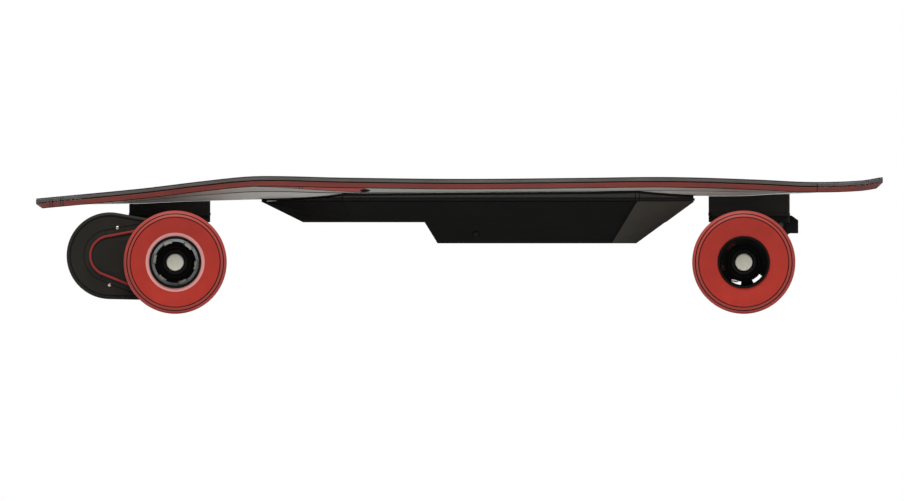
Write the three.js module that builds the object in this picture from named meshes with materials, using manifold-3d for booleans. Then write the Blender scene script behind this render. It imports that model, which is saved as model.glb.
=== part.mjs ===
// Electric skateboard: a laminated deck on two traditional-kingpin trucks, four large-core wheels,
// one belt drive on the rear right wheel, and a two-level battery and controller enclosure below.
// Millimetres. +X points to the nose, +Y to the rider's left when facing the nose, +Z up.
// The origin is on the ground below the middle of the deck.
import * as THREE from "three";
import { ConvexGeometry } from "three/addons/geometries/ConvexGeometry.js";
import { mergeVertices } from "three/addons/utils/BufferGeometryUtils.js";
import Module from "manifold-3d";

const wasm = await Module();
wasm.setup();

// ---------------------------------------------------------------- driving dimensions
const GAP = 0.3; // left between two pieces that touch
const SKIN = 0.2; // left between two laminates

const DECK = { length: 795.4, grip: 1.1, upper: 3, lower: 5.4, tipBevel: 6 };
const DECK_THICKNESS = DECK.grip + DECK.upper + DECK.lower + 2 * SKIN;
const TAIL_CORNER = { start: -371, radius: 27 };
const NOSE_CORNER = { start: 336, radius: 58 };

// Height of the deck's top edge along the board: a long low tail, a kink, a gentle rocker, a nose lip.
const RAIL_TOP = [
  [-397.7, 108.3],
  [-300, 117.7],
  [-244, 124.5],
  [-200, 129.1],
  [-170, 129.6],
  [-112, 128.2],
  [0, 126.9],
  [113, 127.8],
  [180, 128.7],
  [226, 128.1],
  [282, 126.1],
  [330, 123.9],
  [376, 125.2],
  [397.7, 128.6],
];
// How far the middle of the deck lies below its edges.
const DISH_DEPTH = [
  [-350, 0],
  [-320, 2.4],
  [-262, 6.9],
  [-206, 11.7],
  [-168, 12.3],
  [-110, 12],
  [-60, 8.6],
  [0, 6.4],
  [50, 6],
  [100, 6.6],
  [160, 8],
  [207, 7.7],
  [264, 6],
  [301, 2.4],
  [335, 0],
];
// Half the deck's width along the board: narrow over the trucks, wide under the feet.
const HALF_WIDTH = [
  [-371, 84],
  [-267, 88],
  [-150, 111],
  [-60, 118],
  [110, 118],
  [190, 109],
  [267, 90],
  [336, 86],
];
const DISH_CREASE = { at: 0.84, share: 0.38 }; // where the raised rail meets the dish

const WHEELBASE = 534;
const AXLE_HEIGHT = 48.5;
const WHEEL = { radius: 48.5, width: 52, centre: 114, coreRadius: 24.7, hubOffset: 6 };
const WHEEL_FACE = WHEEL.width / 2;
const BEARING = { radius: 10.9, bore: 4.15, width: 7, spacer: 10 };
const AXLE = { radius: 3.95, reach: 126 };
const NUT = { radius: 8.4, length: 8.2 };
const TYRE_SIDES = 26;
const WINDOWS = 6;
const FRONT_WINDOW_ANGLE = 9;
const REAR_WINDOW_ANGLE = 51;

const PLATE = { inner: -33, outer: 43.2, halfWidth: 32, bottom: 37.5, top: 43.9, corner: 3 };
const BOSS = { outer: 51.2, bottom: 27.1, chamferFrom: 45, chamferTo: 39.4, halfWidth: 12 };
const RIB = { y: 12, half: 1.6 };
const STEER_ANGLE = THREE.MathUtils.degToRad(30); // steering axis above the horizontal
const PIVOT_TIP = new THREE.Vector3(42, 0, 35.5);
const PIVOT = { nose: 5.8, cupInner: 6.2, cupOuter: 8, hole: 8.3, depth: 14 };
const RING = { u: -16, thickness: 9, outer: 16, hole: 8.8 };
const KINGPIN_ANGLE = THREE.MathUtils.degToRad(12); // lower end leans to the middle of the board
const KINGPIN = { radius: 4.8, head: 8.2, headFrom: 34, headTo: 39.5 };
const BUSHING = { radius: 14.2, waist: 11.5, upper: 15, lower: 12, bore: 5.2 };
const WASHER = { radius: 15.2, thickness: 1.6 };
const KINGPIN_NUT = { radius: 8.4, length: 7 };
const BEAM = { centre: 11, arm: 9, end: 6.3, armFrom: 40, endFrom: 90, reach: 95.7 };

const MOTOR = { x: -61.2, z: 6.1, radius: 25, wall: 1.8, inner: 19.5 };
const BELT = { width: 12, thickness: 2.2, pitch: 5 };
const MOTOR_TEETH = 16;
const WHEEL_TEETH = 36;
const TOOTH = { depth: 1.6, below: 0.57 }; // tooth tips lie this far below the pitch line
// Stations across the board on the drive side, measured from the middle of the board.
const DRIVE = { plateIn: 57.5, plateOut: 65, backIn: 65.3, backOut: 67.3, faceOut: 86, trimOut: 87 };
const COVER = { motorEnd: 40.8, wheelEnd: 36, wall: 2.4, wheelHole: 23.6 };
const TRIM = { motorEnd: 18.5, wheelEnd: 35.6, width: 2.1 };

const SHELL = { wall: 3, skirtTop: 124, flange: 105.8, shallow: 86, deep: 66.2, gasket: 1.8 };
const SHELL_HALF = { flange: 96, deep: 81.6 };
const SHELL_END_HALF = { tail: 46, nose: 56 };
// Stations along the board at each level: tail tip, tail shoulder, nose shoulder, nose tip.
const SHELL_PLAN = {
  flange: [-187, -110, 167, 221],
  shallow: [-146.8, -101, 155, 193.9],
  step: [-33.1, -33, 155, 193.9],
  deep: [-20.7, -20.6, 143, 166.1],
};
const BATTERY = { x: 60, length: 132, width: 136, height: 31, lift: 0.7 };
const CONTROLLER = { x: -78, length: 78, width: 104, height: 11, lift: 0.7 };
const BUTTON = { x: 15.5, z: 74.5, radius: 3, depth: 8, proud: 0.9 };
const PORT = { x: 60, z: 84, bottom: 80, top: 92, radius: 7, hole: 4.2, lip: 1.8, lipHeight: 1.4, floor: 3 };
const GLAND = { along: 0.58, down: 0.26, bore: 3.2, thread: 5, collar: 7.4, inside: 8, outside: 9 };

// ---------------------------------------------------------------- colours
const finish = (color, roughness, metalness = 0) =>
  new THREE.MeshStandardMaterial({ color, roughness, metalness });
const LOOK = {
  grip: finish("#2e2e2d", 0.95),
  upper: finish("#5a5752", 0.6),
  lower: finish("#75352f", 0.5),
  riser: finish("#181816", 0.7),
  truck: finish("#1c1c1a", 0.45, 0.6),
  steel: finish("#b9b7ac", 0.35, 0.9),
  bushing: finish("#4a1a18", 0.55),
  tyre: finish("#a33a30", 0.5),
  core: finish("#131312", 0.5),
  bearing: finish("#9a9a98", 0.3, 0.9),
  alloy: finish("#8d9196", 0.4, 0.8),
  pulley: finish("#ded9c8", 0.5),
  rubber: finish("#111111", 0.8),
  cover: finish("#262523", 0.55),
  trim: finish("#823232", 0.5),
  shell: finish("#1b1b19", 0.55),
  battery: finish("#2b4a72", 0.5),
  board: finish("#1f4d34", 0.6),
  motor: finish("#2a2a2b", 0.4, 0.7),
};

// ---------------------------------------------------------------- solids
// A geometry as one closed index of shared points, with its faces pointing out.
function closed(geometry) {
  const bare = new THREE.BufferGeometry();
  bare.setAttribute("position", geometry.getAttribute("position"));
  if (geometry.index) bare.setIndex(geometry.index);
  const merged = mergeVertices(bare, 1e-4);
  const p = merged.getAttribute("position");
  const index = Array.from(merged.index.array);
  const kept = [];
  let volume = 0;
  const a = new THREE.Vector3();
  const b = new THREE.Vector3();
  const c = new THREE.Vector3();
  for (let i = 0; i < index.length; i += 3) {
    const [ia, ib, ic] = index.slice(i, i + 3);
    if (ia === ib || ib === ic || ic === ia) continue;
    kept.push(ia, ib, ic);
    a.fromBufferAttribute(p, ia);
    b.fromBufferAttribute(p, ib);
    c.fromBufferAttribute(p, ic);
    volume += a.dot(b.cross(c));
  }
  if (volume < 0) kept.reverse();
  merged.setIndex(kept);
  return merged;
}

function solid(geometry) {
  const whole = closed(geometry);
  return new wasm.Manifold(
    new wasm.Mesh({
      numProp: 3,
      vertProperties: new Float32Array(whole.getAttribute("position").array),
      triVerts: new Uint32Array(whole.index.array),
    }),
  );
}

function geometryOf(shape) {
  const mesh = shape.getMesh();
  const geometry = new THREE.BufferGeometry();
  geometry.setAttribute("position", new THREE.BufferAttribute(mesh.vertProperties, 3));
  geometry.setIndex(new THREE.BufferAttribute(mesh.triVerts, 1));
  return geometry;
}

const joined = (...parts) => geometryOf(parts.map(solid).reduce((sum, next) => sum.add(next)));

const cut = (base, ...tools) =>
  geometryOf(tools.map(solid).reduce((rest, next) => rest.subtract(next), solid(base)));

const common = (one, other) => geometryOf(solid(one).intersect(solid(other)));

function piece(group, name, geometry, look) {
  const mesh = new THREE.Mesh(geometry, look);
  mesh.name = name;
  mesh.geometry.computeVertexNormals();
  group.add(mesh);
  return mesh;
}

// A ring or a disc turned about Y, from a closed list of [radius, y] points.
function turned(profile, segments = 24) {
  const points = profile.map(([r, y]) => new THREE.Vector2(r, y));
  points.push(points[0].clone());
  return closed(new THREE.LatheGeometry(points, segments));
}

// A plain cylinder or tube along Y between two stations.
function tube(outer, inner, from, to, segments = 24) {
  return turned(
    [
      [inner, from],
      [outer, from],
      [outer, to],
      [inner, to],
    ],
    segments,
  );
}

// A flat shape drawn in the XZ plane and given its thickness along Y.
function slab(shape, from, to, segments = 12) {
  const made = new THREE.ExtrudeGeometry(shape, {
    depth: to - from,
    bevelEnabled: false,
    curveSegments: segments,
  });
  made.rotateX(Math.PI / 2);
  made.translate(0, to, 0);
  return closed(made);
}

const polygon = (points) => new THREE.Shape(points.map(([x, z]) => new THREE.Vector2(x, z)));

// A cylinder whose axis starts at a point and runs along a direction for a length.
function rod(start, direction, radius, length, segments = 20, endRadius = radius) {
  const made = new THREE.CylinderGeometry(endRadius, radius, length, segments);
  made.translate(0, length / 2, 0);
  const turn = new THREE.Quaternion().setFromUnitVectors(
    new THREE.Vector3(0, 1, 0),
    direction.clone().normalize(),
  );
  made.applyQuaternion(turn);
  made.translate(start.x, start.y, start.z);
  return closed(made);
}

// A part turned about Y, laid along a direction from a start point.
function along(start, direction, geometry) {
  const turn = new THREE.Quaternion().setFromUnitVectors(
    new THREE.Vector3(0, 1, 0),
    direction.clone().normalize(),
  );
  return geometry.clone().applyQuaternion(turn).translate(start.x, start.y, start.z);
}

// ---------------------------------------------------------------- deck surface
// A smooth line through the points of a table, level beyond its ends.
function follow(table, x) {
  const last = table.length - 1;
  if (x <= table[0][0]) return table[0][1];
  if (x >= table[last][0]) return table[last][1];
  let i = 0;
  while (x > table[i + 1][0]) i += 1;
  const slope = (a, b) => (table[b][1] - table[a][1]) / (table[b][0] - table[a][0]);
  const tangent = (k) => slope(Math.max(k - 1, 0), Math.min(k + 1, last));
  const [x0, y0] = table[i];
  const [x1, y1] = table[i + 1];
  const h = x1 - x0;
  const t = (x - x0) / h;
  const rise = y0 * (1 + 2 * t) * (1 - t) ** 2 + y1 * t * t * (3 - 2 * t);
  return rise + h * (tangent(i) * t * (1 - t) ** 2 - tangent(i + 1) * t * t * (1 - t));
}

function halfWidth(x) {
  const wide = follow(HALF_WIDTH, x);
  const corner = x < 0 ? TAIL_CORNER : NOSE_CORNER;
  const beyond = x < 0 ? corner.start - x : x - corner.start;
  if (beyond <= 0) return wide;
  const reach = DECK.length / 2 - Math.abs(corner.start);
  const fraction = Math.min(beyond / reach, 1);
  return wide - corner.radius * (1 - Math.sqrt(1 - fraction * fraction));
}

// 0 at the deck's edge and 1 in its middle.
function dish(t) {
  const { at, share } = DISH_CREASE;
  if (t >= at) return (share * (1 - t)) / (1 - at);
  return share + (1 - share) * (1 - (t / at) ** 4);
}

function deckTop(x, y) {
  const t = Math.min(Math.abs(y) / halfWidth(x), 1);
  return follow(RAIL_TOP, x) - Math.max(follow(DISH_DEPTH, x), 0) * dish(t);
}

const deckUnder = (x, y) => deckTop(x, y) - DECK_THICKNESS;

// Stations along the deck: even between the shoulders, closer round the corners of both ends.
function deckStations(end) {
  const between = 20;
  const corner = 3;
  const xs = [];
  for (let i = corner; i > 0; i -= 1) {
    const reach = end + TAIL_CORNER.start;
    xs.push(TAIL_CORNER.start - reach * Math.sin((i / corner) * (Math.PI / 2)));
  }
  for (let i = 0; i <= between; i += 1) {
    xs.push(TAIL_CORNER.start + ((NOSE_CORNER.start - TAIL_CORNER.start) * i) / between);
  }
  for (let i = 1; i <= corner; i += 1) {
    xs.push(NOSE_CORNER.start + (end - NOSE_CORNER.start) * Math.sin((i / corner) * (Math.PI / 2)));
  }
  return xs;
}

const DECK_ACROSS = [-1, -DISH_CREASE.at, -0.56, -0.28, 0, 0.28, 0.56, DISH_CREASE.at, 1];

// One layer of the deck, between two depths below its top. The bottom face can stop short of the tips.
function deckLayer(from, to, inset, bevel = 0) {
  const xs = deckStations(DECK.length / 2 - inset);
  const across = DECK_ACROSS.length;
  const corner = [];
  for (const [depth, short] of [
    [from, 0],
    [to, bevel],
  ]) {
    for (const x of xs) {
      const tip = Math.max(0, Math.abs(x) - (x < 0 ? -TAIL_CORNER.start : NOSE_CORNER.start));
      const reach = DECK.length / 2 - (x < 0 ? -TAIL_CORNER.start : NOSE_CORNER.start);
      const pulled = x - Math.sign(x) * short * (tip / reach) ** 2;
      for (const t of DECK_ACROSS) {
        const pull = Math.abs(t) === 1 ? inset : 0;
        const y = t * (halfWidth(x) - pull - (short / 3) * (tip / reach));
        corner.push(pulled, y, deckTop(pulled, y) - depth);
      }
    }
  }
  const at = (face, i, j) => (face * xs.length + i) * across + j;
  const faces = [];
  const quad = (a, b, c, d) => faces.push(a, b, c, a, c, d);
  const m = xs.length - 1;
  const n = across - 1;
  for (let i = 0; i < m; i += 1) {
    for (let j = 0; j < n; j += 1) {
      quad(at(0, i, j), at(0, i + 1, j), at(0, i + 1, j + 1), at(0, i, j + 1));
      quad(at(1, i, j), at(1, i, j + 1), at(1, i + 1, j + 1), at(1, i + 1, j));
    }
    quad(at(1, i, 0), at(1, i + 1, 0), at(0, i + 1, 0), at(0, i, 0));
    quad(at(0, i, n), at(0, i + 1, n), at(1, i + 1, n), at(1, i, n));
  }
  for (let j = 0; j < n; j += 1) {
    quad(at(0, 0, j), at(0, 0, j + 1), at(1, 0, j + 1), at(1, 0, j));
    quad(at(1, m, j), at(1, m, j + 1), at(0, m, j + 1), at(0, m, j));
  }
  const geometry = new THREE.BufferGeometry();
  geometry.setAttribute("position", new THREE.Float32BufferAttribute(corner, 3));
  geometry.setIndex(faces);
  return closed(geometry);
}

function deck(board) {
  const upperTop = DECK.grip + SKIN;
  const lowerTop = upperTop + DECK.upper + SKIN;
  piece(board, "grip_tape", deckLayer(0, DECK.grip, 2), LOOK.grip);
  piece(board, "deck_upper_laminate", deckLayer(upperTop, upperTop + DECK.upper, 0), LOOK.upper);
  piece(
    board,
    "deck_lower_laminate",
    deckLayer(lowerTop, DECK_THICKNESS, 0, DECK.tipBevel),
    LOOK.lower,
  );
}

// ---------------------------------------------------------------- enclosure
// A plan outline of the enclosure at one height, drawn smaller by an inset, with its corners cut off.
function shellOutline(plan, inset, half, z) {
  const [tail, tailShoulder, noseShoulder, nose] = plan;
  const taper = half / SHELL_HALF.flange;
  const tip = tail + 2 * inset;
  const right = [
    [tip, -SHELL_END_HALF.tail * taper],
    [Math.max(tailShoulder + inset, tip + 0.1), -half],
    [noseShoulder - inset, -half],
    [nose - 2 * inset, -SHELL_END_HALF.nose * taper],
  ];
  const left = right.map(([x, y]) => [x, -y]).reverse();
  return [...right, ...left].map(([x, y]) => new THREE.Vector3(x, y, z));
}

const hull = (...outlines) => closed(new ConvexGeometry(outlines.flat()));

const wallSlope = (SHELL_HALF.flange - SHELL_HALF.deep) / (SHELL.flange - SHELL.deep);
const wallHalf = (z) => SHELL_HALF.deep + wallSlope * (z - SHELL.deep);

// The enclosure's body below its flange: a shallow tail part and a deeper nose part.
function shellBody(inset, floor) {
  const lift = SHELL.shallow + floor;
  const bed = SHELL.deep + floor;
  const outline = (plan, z) => shellOutline(plan, inset, wallHalf(z) - inset, z);
  const shallow = hull(
    outline(SHELL_PLAN.flange, SHELL.flange),
    outline(SHELL_PLAN.shallow, lift),
  );
  const deep = hull(
    shellOutline(SHELL_PLAN.step, inset, wallHalf(lift) - inset, lift + 0.5),
    outline(SHELL_PLAN.deep, bed),
  );
  return joined(shallow, deep);
}

function skirtPrism(inset, from, to) {
  const outline = (z) => shellOutline(SHELL_PLAN.flange, inset, SHELL_HALF.flange - inset, z);
  return hull(outline(from), outline(to));
}

// The cable gland sits on the left one of the two cut-off corners at the tail.
const cornerTip = new THREE.Vector3(SHELL_PLAN.flange[0], SHELL_END_HALF.tail, SHELL.flange);
const cornerShoulder = new THREE.Vector3(SHELL_PLAN.flange[1], SHELL_HALF.flange, SHELL.flange);
const cornerLow = new THREE.Vector3(SHELL_PLAN.shallow[1], wallHalf(SHELL.shallow), SHELL.shallow);
const cornerFace = new THREE.Plane().setFromCoplanarPoints(cornerTip, cornerShoulder, cornerLow);
const glandOut = cornerFace.normal.clone().multiplyScalar(Math.sign(cornerFace.normal.y));
const glandAt = cornerTip.clone().lerp(cornerShoulder, GLAND.along).lerp(cornerLow, GLAND.down);

function cableGland() {
  const profile = [
    [GLAND.bore, -GLAND.inside],
    [GLAND.thread, -GLAND.inside],
    [GLAND.thread, GAP],
    [GLAND.collar, GAP],
    [GLAND.collar, 4],
    [GLAND.thread + 0.2, GLAND.outside],
    [GLAND.bore, GLAND.outside],
  ];
  return along(glandAt, glandOut, turned(profile, 12));
}

// The charge port's socket, opening to the left.
function chargePort() {
  const profile = [
    [0, PORT.bottom],
    [PORT.radius, PORT.bottom],
    [PORT.radius, PORT.top],
    [PORT.radius + PORT.lip, PORT.top],
    [PORT.radius + PORT.lip, PORT.top + PORT.lipHeight],
    [PORT.hole, PORT.top + PORT.lipHeight],
    [PORT.hole, PORT.bottom + PORT.floor],
    [0, PORT.bottom + PORT.floor],
  ];
  return turned(profile, 14).translate(PORT.x, 0, PORT.z);
}

// A plain block resting just above one of the enclosure's floors.
function cargo(box, floor) {
  const block = new THREE.BoxGeometry(box.length, box.width, box.height);
  return closed(block.translate(box.x, 0, floor + SHELL.wall + box.lift + box.height / 2));
}

function enclosure(board) {
  const room = deckLayer(DECK_THICKNESS + SHELL.gasket + 2 * GAP, -40, -20);
  const outer = joined(shellBody(0, 0), skirtPrism(0, SHELL.flange - 0.5, SHELL.skirtTop));
  const inner = joined(
    shellBody(SHELL.wall, SHELL.wall),
    skirtPrism(SHELL.wall, SHELL.flange - 0.5, SHELL.skirtTop + 1),
  );
  const outward = new THREE.Vector3(0, -1, -wallSlope).normalize();
  const buttonFace = new THREE.Vector3(BUTTON.x, -wallHalf(BUTTON.z), BUTTON.z);
  const inside = buttonFace.addScaledVector(outward, -BUTTON.depth);
  const buttonHole = rod(inside, outward, BUTTON.radius + GAP, 2 * BUTTON.depth, 16);
  const portHole = tube(PORT.radius + GAP, 0, PORT.bottom - 10, PORT.top + 20, 20);
  portHole.translate(PORT.x, 0, PORT.z);
  const glandStart = glandAt.clone().addScaledVector(glandOut, -14);
  const glandHole = rod(glandStart, glandOut, GLAND.thread + GAP, 34, 12);
  const shell = cut(outer, inner, room, buttonHole, portHole, glandHole);
  piece(board, "enclosure_shell", shell, LOOK.shell);

  const strip = deckLayer(DECK_THICKNESS + GAP, DECK_THICKNESS + GAP + SHELL.gasket, -20);
  const ring = cut(skirtPrism(0.6, 90, 130), skirtPrism(SHELL.wall, 80, 140));
  piece(board, "enclosure_gasket", common(strip, ring), LOOK.rubber);

  piece(board, "battery_pack", cargo(BATTERY, SHELL.deep), LOOK.battery);
  piece(board, "speed_controller", cargo(CONTROLLER, SHELL.shallow), LOOK.board);
  const stem = rod(inside, outward, BUTTON.radius - 0.1, BUTTON.depth + BUTTON.proud, 16);
  piece(board, "power_button", stem, LOOK.rubber);
  piece(board, "charge_port", chargePort(), LOOK.rubber);
  piece(board, "cable_gland", cableGland(), LOOK.rubber);
}

// ---------------------------------------------------------------- trucks
const steer = new THREE.Vector3(Math.cos(STEER_ANGLE), 0, Math.sin(STEER_ANGLE));
const acrossSteer = new THREE.Vector3(-Math.sin(STEER_ANGLE), 0, Math.cos(STEER_ANGLE));
const onSteer = (distance) => PIVOT_TIP.clone().addScaledVector(steer, -distance);
const ringCentre = onSteer((PIVOT_TIP.x - RING.u) / Math.cos(STEER_ANGLE));
const kingpinUp = new THREE.Vector3(Math.sin(KINGPIN_ANGLE), 0, Math.cos(KINGPIN_ANGLE));
const onKingpin = (height) => ringCentre.clone().addScaledVector(kingpinUp, height);
const seatHeight = RING.thickness / 2 + BUSHING.upper + 2 * GAP;

// A block with its four upright corners rounded.
function roundedBlock(inner, outer, half, bottom, top, radius) {
  const shape = new THREE.Shape();
  shape.moveTo(inner + radius, -half);
  shape.lineTo(outer - radius, -half);
  shape.absarc(outer - radius, -half + radius, radius, -Math.PI / 2, 0);
  shape.lineTo(outer, half - radius);
  shape.absarc(outer - radius, half - radius, radius, 0, Math.PI / 2);
  shape.lineTo(inner + radius, half);
  shape.absarc(inner + radius, half - radius, radius, Math.PI / 2, Math.PI);
  shape.lineTo(inner, -half + radius);
  shape.absarc(inner + radius, -half + radius, radius, Math.PI, 1.5 * Math.PI);
  const made = new THREE.ExtrudeGeometry(shape, {
    depth: top - bottom,
    bevelEnabled: false,
    curveSegments: 3,
  });
  return closed(made.translate(0, 0, bottom));
}

function baseplate() {
  const plate = roundedBlock(
    PLATE.inner,
    PLATE.outer,
    PLATE.halfWidth,
    PLATE.bottom,
    PLATE.top,
    PLATE.corner,
  );
  const mouth = onSteer(PIVOT.depth);
  const lower = mouth.clone().addScaledVector(acrossSteer, -10.5);
  const upper = mouth.clone().addScaledVector(acrossSteer, 10.5);
  const boss = slab(
    polygon([
      [upper.x, PLATE.bottom + 1],
      [upper.x, upper.z],
      [lower.x, lower.z],
      [40.2, BOSS.bottom],
      [BOSS.outer, BOSS.bottom],
      [BOSS.outer, BOSS.chamferTo],
      [BOSS.chamferFrom, PLATE.top],
      [PLATE.outer - 8, PLATE.top],
    ]),
    -BOSS.halfWidth,
    BOSS.halfWidth,
  );
  const rib = polygon([
    [0, PLATE.bottom + 1],
    [0, 17],
    [5, 15],
    [9, 13],
    [14.5, 13],
    [19, 20],
    [lower.x - 1, lower.z + 9],
    [37, PLATE.bottom + 1],
  ]);
  const ribs = [-RIB.y, RIB.y].map((y) => slab(rib, y - RIB.half, y + RIB.half));
  const seat = rod(onKingpin(seatHeight), kingpinUp, 15, KINGPIN.headTo - seatHeight, 20, 17);
  const shank = rod(onKingpin(0), kingpinUp, KINGPIN.radius + GAP, 60, 16);
  const recess = rod(onKingpin(KINGPIN.headFrom - GAP), kingpinUp, KINGPIN.head + 2 * GAP, 30, 16);
  const cupHole = rod(mouth.clone().addScaledVector(steer, -6), steer, PIVOT.hole, PIVOT.depth + 6);
  const lid = new THREE.BoxGeometry(120, 120, 30).translate(0, 0, PLATE.top + 15);
  return cut(joined(plate, boss, seat, ...ribs), shank, recess, cupHole, lid);
}

function pivotCup() {
  const length = PIVOT.depth - GAP;
  const profile = [
    [PIVOT.cupInner, 0],
    [PIVOT.cupOuter, 0],
    [PIVOT.cupOuter, length],
    [0, length],
    [0, length - 1.8],
    [PIVOT.cupInner, length - 1.8],
  ];
  return along(onSteer(PIVOT.depth), steer, turned(profile, 14));
}

function hanger() {
  const beamProfile = [
    [0, -BEAM.reach],
    [BEAM.end, -BEAM.reach],
    [BEAM.end, -BEAM.endFrom],
    [BEAM.arm, -BEAM.endFrom + 2],
    [BEAM.arm, -BEAM.armFrom - 8],
    [BEAM.centre, -BEAM.armFrom + 8],
    [BEAM.centre, BEAM.armFrom - 8],
    [BEAM.arm, BEAM.armFrom + 8],
    [BEAM.arm, BEAM.endFrom - 2],
    [BEAM.end, BEAM.endFrom],
    [BEAM.end, BEAM.reach],
    [0, BEAM.reach],
  ];
  const beam = turned(beamProfile, 16);
  const ring = rod(onKingpin(-RING.thickness / 2), kingpinUp, RING.outer, RING.thickness, 18);
  const shoulder = onSteer(PIVOT.depth + 2.6);
  const low = shoulder.clone().addScaledVector(acrossSteer, -7.5);
  const high = shoulder.clone().addScaledVector(acrossSteer, 6);
  const web = slab(
    polygon([
      [-8, -3],
      [4, -10.5],
      [22, -4.5],
      [low.x, low.z],
      [high.x, high.z],
      [5.5, 8.5],
      [-4, 3.5],
    ]),
    -8,
    8,
  );
  const nose = rod(shoulder.clone().addScaledVector(steer, -3), steer, PIVOT.nose, 14.4, 14, 5);
  const wings = slab(
    polygon([
      [-9, -5],
      [0, -10.5],
      [9, -5],
      [9, 4],
      [0, 8],
      [-6, 3],
    ]),
    -26,
    26,
  );
  const pinHole = rod(onKingpin(-14), kingpinUp, RING.hole, 28, 16);
  const bushingRoom = rod(onKingpin(RING.thickness / 2), kingpinUp, RING.outer, 18, 18);
  const under = rod(onKingpin(-RING.thickness / 2 - 16), kingpinUp, RING.outer - 0.6, 16, 18);
  const axleHole = tube(AXLE.radius + GAP, 0, -130, 130, 12);
  const body = joined(beam, web, wings, nose);
  return cut(joined(cut(body, bushingRoom, under), ring), pinHole, axleHole);
}

function bushing(from, length, lowRadius, highRadius) {
  const profile = [
    [BUSHING.bore, 0],
    [lowRadius, 0],
    [highRadius, length],
    [BUSHING.bore, length],
  ];
  return along(onKingpin(from), kingpinUp, turned(profile, 16));
}

function truck(parent, place, direction) {
  const fixed = new THREE.Group();
  fixed.position.set((direction * WHEELBASE) / 2, 0, AXLE_HEIGHT);
  if (direction < 0) fixed.rotation.z = Math.PI;
  parent.add(fixed);

  const under = -RING.thickness / 2 - GAP - BUSHING.lower;
  const washerFrom = under - GAP - WASHER.thickness;
  const nutFrom = washerFrom - GAP - KINGPIN_NUT.length;
  piece(fixed, place + "_baseplate", baseplate(), LOOK.truck);
  piece(fixed, place + "_pivot_cup", pivotCup(), LOOK.bushing);
  const { radius, waist } = BUSHING;
  const upper = bushing(RING.thickness / 2 + GAP, BUSHING.upper, radius, waist);
  const lower = bushing(under, BUSHING.lower, waist, radius);
  piece(fixed, place + "_upper_bushing", upper, LOOK.bushing);
  piece(fixed, place + "_lower_bushing", lower, LOOK.bushing);
  const washer = tube(WASHER.radius, BUSHING.bore, 0, WASHER.thickness, 16);
  piece(fixed, place + "_cup_washer", along(onKingpin(washerFrom), kingpinUp, washer), LOOK.steel);
  const nut = cut(
    tube(KINGPIN_NUT.radius, 0, 0, KINGPIN_NUT.length, 6),
    tube(KINGPIN.radius + GAP, 0, -1, KINGPIN_NUT.length + 1, 14),
  );
  piece(fixed, place + "_kingpin_nut", along(onKingpin(nutFrom), kingpinUp, nut), LOOK.steel);
  const pin = turned(
    [
      [0, nutFrom - 1.5],
      [KINGPIN.radius, nutFrom - 1.5],
      [KINGPIN.radius, KINGPIN.headFrom],
      [KINGPIN.head, KINGPIN.headFrom],
      [KINGPIN.head, KINGPIN.headTo],
      [0, KINGPIN.headTo],
    ],
    16,
  );
  piece(fixed, place + "_kingpin", along(ringCentre, kingpinUp, pin), LOOK.steel);
  piece(fixed, place + "_hanger", hanger(), LOOK.truck);
  const axle = tube(AXLE.radius, 0, -AXLE.reach, AXLE.reach, 12);
  piece(fixed, place + "_axle", axle, LOOK.steel);

  // The riser fills the space from the baseplate to the dished deck.
  const block = roundedBlock(
    PLATE.inner,
    PLATE.outer,
    PLATE.halfWidth,
    PLATE.top + GAP,
    90,
    PLATE.corner,
  );
  if (direction < 0) block.rotateZ(Math.PI);
  block.translate((direction * WHEELBASE) / 2, 0, AXLE_HEIGHT);
  const room = deckLayer(DECK_THICKNESS + GAP, -60, -20);
  piece(parent, place + "_riser", cut(block, room), LOOK.riser);
}

// ---------------------------------------------------------------- wheels
// One window through a core: a part of a ring between two radii.
function windowShape(centre, halfAngle, inner, outer) {
  const from = THREE.MathUtils.degToRad(centre - halfAngle);
  const to = THREE.MathUtils.degToRad(centre + halfAngle);
  const shape = new THREE.Shape();
  shape.absarc(0, 0, outer, from, to, false);
  shape.absarc(0, 0, inner, to, from, true);
  return shape;
}

const WINDOW = { halfAngle: 13.5, inner: 17.8, outer: 21.4 };
const WEB = { outer: -2, inner: 10, hub: 15.5, rim: 22.5 };
const CLAMP = { inner: 19.4, thickness: 2.3 };
const clampAt = -(WHEEL.centre - WEB.outer + GAP);

// The tyre's flats lie at the wheel's radius, and one of them is on the ground.
function tyre() {
  const half = WHEEL_FACE;
  const toCorner = 1 / Math.cos(Math.PI / TYRE_SIDES);
  const side = [
    [WHEEL.coreRadius + GAP, half - 2.5],
    [42.3, half],
    [45.4, half - 1.6],
    [WHEEL.radius * toCorner, half - 5.5],
  ];
  const mirrored = side.map(([r, y]) => [r, -y]).reverse();
  return turned([...side, ...mirrored], TYRE_SIDES).rotateY(Math.PI / TYRE_SIDES);
}

function core(windowAngle) {
  const hub = WHEEL.hubOffset;
  const face = BEARING.spacer / 2 + BEARING.width + GAP;
  const seat = BEARING.radius + 0.2;
  const rimEnd = WHEEL_FACE - 2.8;
  const profile = [
    [seat, hub - face],
    [WEB.hub, hub - face],
    [WEB.hub, WEB.outer],
    [WEB.rim, WEB.outer],
    [WEB.rim, -rimEnd],
    [WHEEL.coreRadius, -rimEnd],
    [WHEEL.coreRadius, rimEnd],
    [WEB.rim, rimEnd],
    [WEB.rim, WEB.inner],
    [WEB.hub, WEB.inner],
    [WEB.hub, hub + face],
    [seat, hub + face],
  ];
  const windows = [];
  for (let i = 0; i < WINDOWS; i += 1) {
    const centre = windowAngle + (i * 360) / WINDOWS;
    const shape = windowShape(centre, WINDOW.halfAngle, WINDOW.inner, WINDOW.outer);
    windows.push(slab(shape, WEB.outer - 2, WEB.inner + 2, 2));
  }
  return cut(turned(profile, 18), ...windows);
}

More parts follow.
